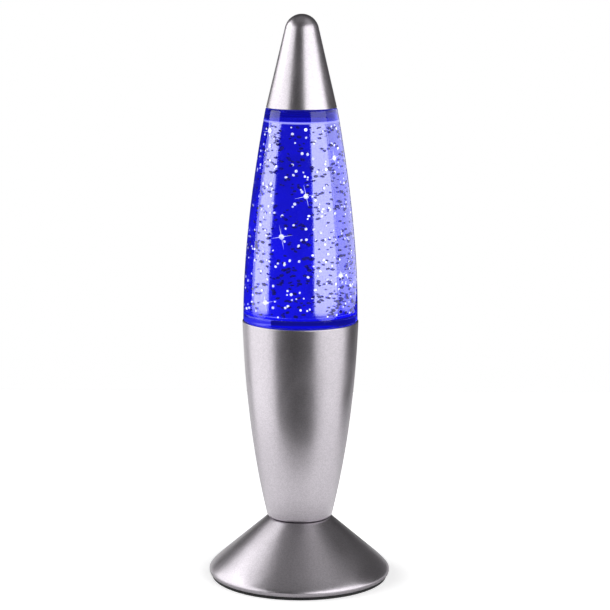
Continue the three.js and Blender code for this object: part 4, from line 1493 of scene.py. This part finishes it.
    def glitter(self) -> None:
        """Thin flakes that float between the glowing filling and the wall."""
        side = self.side()
        low, top = low_of("liquid") + self.flake_margin, top_of("liquid") - self.flake_margin
        draw = random.Random(self.seed)
        bright, dark = bmesh.new(), bmesh.new()
        for _ in range(self.flakes):
            height = low + (top - low) * draw.random() ** self.settling
            angle = draw.uniform(0, 2 * math.pi)
            is_bright = draw.random() < self.bright_share
            drift = 0.5 + 0.5 * math.cos(angle - self.drift_angle)
            kept = self.sparse_share + (1 - self.sparse_share) * drift
            if not is_bright and draw.random() > kept:
                continue
            radius = side.radius(height) - self.wall - draw.uniform(*self.flake_depth) * MM
            if is_bright:
                sizes, widths, spin = self.bright_size, self.bright_squash, self.bright_spin
            else:
                sizes, widths, spin = self.dark_size, self.dark_squash, self.dark_spin
            size, squash = draw.uniform(*sizes) * MM, draw.uniform(*widths)
            reaches = (self.flake_tilt, self.flake_tilt, spin)
            tilts = [draw.uniform(-reach, reach) for reach in reaches]
            turn = Matrix.Rotation(angle, 3, "Z") @ self.facing_out() @ Euler(tilts).to_matrix()
            centre = Vector((radius * math.cos(angle), radius * math.sin(angle), height))
            corners = draw.choice(self.flake_corners)
            self.flake(bright if is_bright else dark, centre, turn, size, squash, corners)
        # Painted star glints, in the bright flakes' glowing material.
        for angle, height, reach in self.painted_star_glints:
            self.star(bright, math.radians(angle), height * MM, reach * MM)
        for name, work, coat in (
            ("bright_glitter", bright, self.palette.bright_flake),
            ("dark_glitter", dark, self.palette.dark_flake),
        ):
            mesh = bpy.data.meshes.new(name)
            work.to_mesh(mesh)
            work.free()
            self.place(new_object(name, mesh), Body.BOTTLE, coat)

    def star(self, work: bmesh.types.BMesh, angle: float, height: float, reach: float) -> None:
        """Adds one painted star glint: a bright crossed flake that stands in for a sparkle of
        light.

        Args:
            work: The mesh that it is added to.
            angle: Where it is round the bottle, from the X axis.
            height: Its height.
            reach: How long its points are.
        """
        radius = self.side().radius(height) - self.wall - self.glint_depth
        centre = Vector((radius * math.cos(angle), radius * math.sin(angle), height))
        turn = Matrix.Rotation(angle, 3, "Z") @ self.facing_out()
        self.flake(work, centre, turn, self.glint_heart, 1.0, 12)
        for quarter in range(2):
            lie = turn @ Matrix.Rotation(math.radians(self.glint_turn + 90 * quarter), 3, "Z")
            self.flake(work, centre, lie, reach, self.glint_ray / reach, 4)

    @staticmethod
    def facing_out() -> Matrix:
        """The turn that lays a flake against the wall with its length going round."""
        return Matrix(((0.0, 0.0, 1.0), (1.0, 0.0, 0.0), (0.0, 1.0, 0.0)))

    def flake(
        self,
        work: bmesh.types.BMesh,
        centre: Vector,
        turn: Matrix,
        size: float,
        squash: float,
        corners: int,
    ) -> None:
        """Adds one thin closed flake.

        Args:
            work: The mesh that it is added to.
            centre: Its middle.
            turn: How it is turned.
            size: Its radius.
            squash: Its width as a share of its length.
            corners: How many corners it has.
        """
        half = self.flake_thickness / 2
        rings = []
        for level in (-half, half):
            ring = []
            for i in range(corners):
                angle = 2 * math.pi * i / corners
                spot = Vector((size * math.cos(angle), size * squash * math.sin(angle), level))
                ring.append(work.verts.new(centre + turn @ spot))
            rings.append(ring)
        work.faces.new(list(reversed(rings[0])))
        work.faces.new(rings[1])
        for i in range(corners):
            j = (i + 1) % corners
            work.faces.new((rings[0][i], rings[0][j], rings[1][j], rings[1][i]))

    def closure(self) -> None:
        """The screw closure with grip ribs round its side."""
        node = "screw_closure"
        low, top = low_of(node), top_of(node)
        outer = radius_of(node)
        inner = outer - self.closure_wall
        ceiling = top - self.closure_top
        groove = outer - self.rib_depth
        start, end = low + self.rib_end, top - self.rib_end
        corners = [
            (0.0, ceiling, 0.0),
            (inner, ceiling, self.closure_edge),
            (inner, low, self.closure_edge),
            (outer, low, self.closure_edge),
            (outer, start, 0.0),
            (groove, start + self.rib_depth, 0.0),
            (groove, end - self.rib_depth, 0.0),
            (outer, end, 0.0),
            (outer, top, self.closure_top_round),
            (0.0, top, 0.0),
        ]
        per_rib = self.facets_per_rib
        facets = self.ribs * per_rib
        piece = turned("neck_closure", outline(corners), facets=facets)
        for vertex in piece.data.vertices:
            spot = vertex.co
            reach = math.hypot(spot.x, spot.y)
            step = round(math.atan2(spot.y, spot.x) / (2 * math.pi) * facets)
            on_side = start < spot.z < end and reach > inner + self.rib_depth
            if on_side and step % per_rib >= per_rib // 2:
                spot.x, spot.y = spot.x * outer / reach, spot.y * outer / reach
        piece.data.update()
        smooth(piece.data)
        self.place(piece, Body.BOTTLE, self.palette.white, node)

    def build(self) -> None:
        """Makes the bottle's pieces."""
        self.vessel()
        self.filling()
        self.glitter()
        self.closure()
        self.dress("neck_stopper", self.palette.rubber)
        self.dress("stirrer_pin", self.palette.steel)
        self.dress("stirrer_retainer", self.palette.white)


@dataclass
class Stirrer(SubAssembly):
    """The wheel that turns in the liquid, with its magnets."""

    def build(self) -> None:
        """Makes the stirrer's pieces."""
        self.ease("vaned_wheel", "stirrer_wheel", Body.STIRRER, self.palette.white)
        for node in ("stirrer_magnet_1", "stirrer_magnet_2"):
            self.dress(node, self.palette.magnet)


@dataclass
class Cap(SubAssembly):
    """The pointed silver cap with its liner."""

    half_angle: float = math.radians(13.3)
    wall: float = 1.4 * MM
    edge_round: float = 0.35 * MM
    inner_round: float = 0.2 * MM
    nose_steps: int = 24

    def build(self) -> None:
        """Makes the cap's pieces."""
        low, top = low_of("cap_shell"), top_of("cap_shell")
        edge = radius_of("cap_shell")
        slope = math.tan(self.half_angle)
        nose = (edge - slope * (top - low)) * math.cos(self.half_angle)
        nose /= 1 - math.sin(self.half_angle)
        middle = top - nose

        def arc(radius: float) -> list[Point]:
            """Points of the nose from the cone to the tip.

            Args:
                radius: The nose's radius.

            Returns:
                The points.
            """
            points = []
            for i in range(self.nose_steps):
                angle = self.half_angle + (math.pi / 2 - self.half_angle) * i / self.nose_steps
                points.append((radius * math.cos(angle), middle + radius * math.sin(angle)))
            return [*points, (0.0, middle + radius)]

        inner_edge = edge - self.wall / math.cos(self.half_angle)
        inner = arc(nose - self.wall)
        outer = arc(nose)
        bottom = [
            (*inner[0], 0.0),
            (inner_edge, low, self.inner_round),
            (edge, low, self.edge_round),
            (*outer[0], 0.0),
        ]
        points = list(reversed(inner))[:-1] + outline(bottom) + outer[1:]
        piece = turned("pointed_cap", points)
        self.place(piece, Body.CAP, self.palette.silver, "cap_shell")
        self.dress("cap_liner", self.palette.rubber)


# ---------------------------------------------------------------- studio


class LitBy(Enum):
    """Which pieces a softbox is set up for."""

    METAL = "metal"
    GLASS = "glass"


def hang_light(
    name: str,
    away: Vector,
    place: Vector,
    size: Point,
    radiance: float,
    group: bpy.types.Collection,
) -> None:
    """Adds one rectangular studio light.

    Args:
        name: The light's name.
        away: The direction from the lamp to the light.
        place: The light's middle.
        size: Its width and height.
        radiance: How bright its face is.
        group: The collection that says which pieces it lights.
    """
    data = bpy.data.lights.new(name, "AREA")
    data.shape = "RECTANGLE"
    data.size, data.size_y = size
    data.energy = radiance * math.pi * size[0] * size[1]
    light = bpy.data.objects.new(name, data)
    bpy.context.scene.collection.objects.link(light)
    light.location = place
    light.rotation_euler = away.to_track_quat("Z", "Y").to_euler()
    light.visible_camera = False
    light.light_linking.receiver_collection = group


@dataclass(frozen=True)
class Softbox:
    """An upright rectangular studio light that faces the lamp's axis.

    Azimuth is counted from straight in front, positive to the right; angles are in degrees.
    """

    name: str
    from_azimuth: float
    to_azimuth: float
    low: float
    high: float
    radiance: float
    lit: LitBy = LitBy.METAL
    distance: float = 0.8
    centre_height: float = 0.17

    def build(self, group: bpy.types.Collection) -> None:
        """Makes the light.

        Args:
            group: The collection that says which pieces it lights.
        """
        middle = math.radians((self.from_azimuth + self.to_azimuth) / 2)
        half = math.radians(abs(self.to_azimuth - self.from_azimuth) / 2)
        low = self.centre_height + self.distance * math.tan(math.radians(self.low))
        high = self.centre_height + self.distance * math.tan(math.radians(self.high))
        away = Vector((math.sin(middle), -math.cos(middle), 0.0))
        place = away * self.distance + Vector((0.0, 0.0, (low + high) / 2))
        size = (2 * self.distance * math.tan(half), high - low)
        hang_light(self.name, away, place, size, self.radiance, group)


@dataclass(frozen=True)
class OverheadBox:
    """A tilted studio light above the lamp, with its angles in degrees."""

    name: str
    azimuth: float
    elevation: float
    size: Point
    radiance: float
    lit: LitBy = LitBy.METAL
    distance: float = 0.7

    def build(self, group: bpy.types.Collection) -> None:
        """Makes the light.

        Args:
            group: The collection that says which pieces it lights.
        """
        turn, rise = math.radians(self.azimuth), math.radians(self.elevation)
        level = math.cos(rise)
        away = Vector((math.sin(turn) * level, -math.cos(turn) * level, math.sin(rise)))
        hang_light(self.name, away, away * self.distance, self.size, self.radiance, group)


@dataclass
class Studio:
    """Floor, surroundings, lights and camera."""

    camera_place: tuple[float, float, float] = (0.0026, -1.190, 0.3717)
    camera_pitch: float = 10.0
    camera_roll: float = 0.3
    lens: float = 122.8
    sensor: float = 36.0
    table_side: float = 0.26
    table_front: float = 0.15
    table_back: float = 0.5
    table_glow: float = 0.64
    shade_reach: Point = (0.062, 0.088)
    dim_from: Point = (0.03, 0.15)
    dim_back: float = 0.4
    plain_glow: float = 0.8
    shadow_glow: float = 0.5
    shadow_reach: Point = (0.052, 0.085)
    room: float = 0.035
    ceiling: float = 0.16
    ceiling_from: Point = (0.75, 0.95)
    floor_tone: float = 0.8
    floor_roughness: float = 0.6
    floor_gloss: float = 0.2
    softboxes: tuple[Softbox | OverheadBox, ...] = (
        Softbox("left_upper_softbox", -134.0, -44.0, 3.0, 40.0, 2.15),
        Softbox("left_lower_softbox", -124.0, -53.0, -28.0, 3.0, 1.8),
        Softbox("right_upper_softbox", 12.0, 92.0, 3.0, 44.0, 2.5),
        Softbox("right_lower_softbox", 31.0, 102.0, -28.0, 3.0, 1.55),
        Softbox("left_backdrop", -168.0, -134.0, -28.0, -6.0, 0.75),
        Softbox("right_backdrop", 140.0, 168.0, -28.0, -6.0, 0.2),
        OverheadBox("left_overhead_box", -104.0, 50.0, (0.34, 0.28), 1.65),
        OverheadBox("right_overhead_box", 80.0, 71.0, (0.30, 0.22), 0.4),
        Softbox("left_bottle_light", -114.0, -71.0, -10.0, 38.0, 2.6, LitBy.GLASS),
        Softbox("right_bottle_light", 29.0, 84.0, -10.0, 38.0, 2.6, LitBy.GLASS),
        Softbox("edge_bottle_light", 86.0, 160.0, -10.0, 38.0, 1.3, LitBy.GLASS),
    )

    def floor(self) -> None:
        """A plain pale table top that stays white away from the lamp. Round the lamp it has a
        painted soft shadow as the camera sees it, and painted shade in what the lamp's surfaces
        reflect, where it also glows less behind the lamp.
        """
        side, front, back = self.table_side, -self.table_front, self.table_back
        mesh = bpy.data.meshes.new("floor")
        corners = [(-side, front, 0.0), (side, front, 0.0), (side, back, 0.0), (-side, back, 0.0)]
        mesh.from_pydata(corners, [], [(0, 1, 2, 3)])
        floor = new_object("floor", mesh)
        material = bpy.data.materials.new("pale_floor")
        material.use_nodes = True
        tree = Tree(material.node_tree)
        shader = material.node_tree.nodes["Principled BSDF"]
        place = tree.node("ShaderNodeTexCoord").outputs["Object"]
        length = tree.node("ShaderNodeVectorMath", operation="LENGTH")
        tree.feed(length.inputs[0], place)
        # Painted shade round the lamp in what the lamp's surfaces reflect.
        near, far = self.shade_reach
        glow = tree.spread(length.outputs["Value"], near, far, 0.0, self.table_glow)
        back = tree.spread(tree.part(place, "Y"), *self.dim_from, 1.0, self.dim_back)
        # Painted soft shadow round the lamp where the camera sees the floor.
        near, far = self.shadow_reach
        seen = tree.spread(length.outputs["Value"], near, far, self.shadow_glow, self.plain_glow)
        path = tree.node("ShaderNodeLightPath")
        choose = tree.node("ShaderNodeMix")
        tree.feed(choose.inputs["Factor"], path.outputs["Is Camera Ray"])
        tree.feed(choose.inputs["A"], tree.math("MULTIPLY", glow, back))
        tree.feed(choose.inputs["B"], seen)
        shader.inputs["Base Color"].default_value = (*[self.floor_tone] * 3, 1.0)
        shader.inputs["Roughness"].default_value = self.floor_roughness
        shader.inputs["Specular IOR Level"].default_value = self.floor_gloss
        shader.inputs["Emission Color"].default_value = (1.0, 1.0, 1.0, 1.0)
        tree.feed(shader.inputs["Emission Strength"], choose.outputs["Result"])
        floor.data.materials.append(material)

    def surroundings(self) -> None:
        """A dim room round the lamp, plain white to the camera."""
        world = bpy.data.worlds.new("studio")
        bpy.context.scene.world = world
        world.use_nodes = True
        tree = Tree(world.node_tree)
        background = world.node_tree.nodes["Background"]
        output = world.node_tree.nodes["World Output"]
        direction = tree.node("ShaderNodeTexCoord").outputs["Generated"]
        bright = self.room + self.ceiling
        lit = tree.spread(tree.part(direction, "Z"), *self.ceiling_from, self.room, bright)
        background.inputs["Color"].default_value = (1.0, 1.0, 1.0, 1.0)
        tree.feed(background.inputs["Strength"], lit)
        white = tree.node("ShaderNodeBackground")
        white.inputs["Color"].default_value = (1.0, 1.0, 1.0, 1.0)
        path = tree.node("ShaderNodeLightPath")
        choose = tree.node("ShaderNodeMixShader")
        tree.feed(choose.inputs[0], path.outputs["Is Camera Ray"])
        tree.feed(choose.inputs[1], background.outputs[0])
        tree.feed(choose.inputs[2], white.outputs[0])
        tree.feed(output.inputs["Surface"], choose.outputs[0])

    def camera(self) -> None:
        """The camera, a little above the lamp and looking down on it."""
        data = bpy.data.cameras.new("camera")
        data.lens = self.lens
        data.sensor_width = self.sensor
        data.clip_start = 0.01
        camera = bpy.data.objects.new("camera", data)
        bpy.context.scene.collection.objects.link(camera)
        look = Euler((math.radians(90 - self.camera_pitch), 0.0, 0.0)).to_matrix()
        roll = Matrix.Rotation(math.radians(self.camera_roll), 3, "Z")
        camera.matrix_world = Matrix.Translation(self.camera_place) @ (look @ roll).to_4x4()
        bpy.context.scene.camera = camera

    def build(self) -> dict[LitBy, bpy.types.Collection]:
        """Makes the whole studio.

        Returns:
            For each kind of light, the collection of pieces that it falls on.
        """
        self.camera()
        self.floor()
        self.surroundings()
        receivers = {kind: bpy.data.collections.new(f"lit_{kind.value}") for kind in LitBy}
        for softbox in self.softboxes:
            softbox.build(receivers[softbox.lit])
        bpy.context.scene.view_settings.view_transform = "Standard"
        return receivers


def aim_lights(
    receivers: dict[LitBy, bpy.types.Collection], glass: Sequence[bpy.types.Object]
) -> None:
    """Says which pieces each kind of light falls on.

    Args:
        receivers: The collection for each kind of light.
        glass: The clear pieces, which have their own lights.
    """
    for piece in glass:
        receivers[LitBy.GLASS].objects.link(piece)
        receivers[LitBy.METAL].objects.link(piece)
    for kept in receivers[LitBy.METAL].collection_objects:
        kept.light_linking.link_state = "EXCLUDE"


def main() -> None:
    """Builds the studio and every sub-assembly."""
    logging.basicConfig(level=logging.INFO, format="%(name)s: %(message)s")
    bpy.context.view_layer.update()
    receivers = Studio().build()
    palette = Palette()
    units: tuple[type[SubAssembly], ...] = (
        Base, BatteryPack, VaseBody, Drive, Rotor, Bottle, Stirrer, Cap,
    )
    for unit in units:
        part = unit(palette)
        part.build()
        log.info("%s: %d pieces", unit.__name__, len(part.made))
    aim_lights(receivers, [bpy.data.objects["clear_bottle"]])
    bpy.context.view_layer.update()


if __name__ == "__main__":
    main()
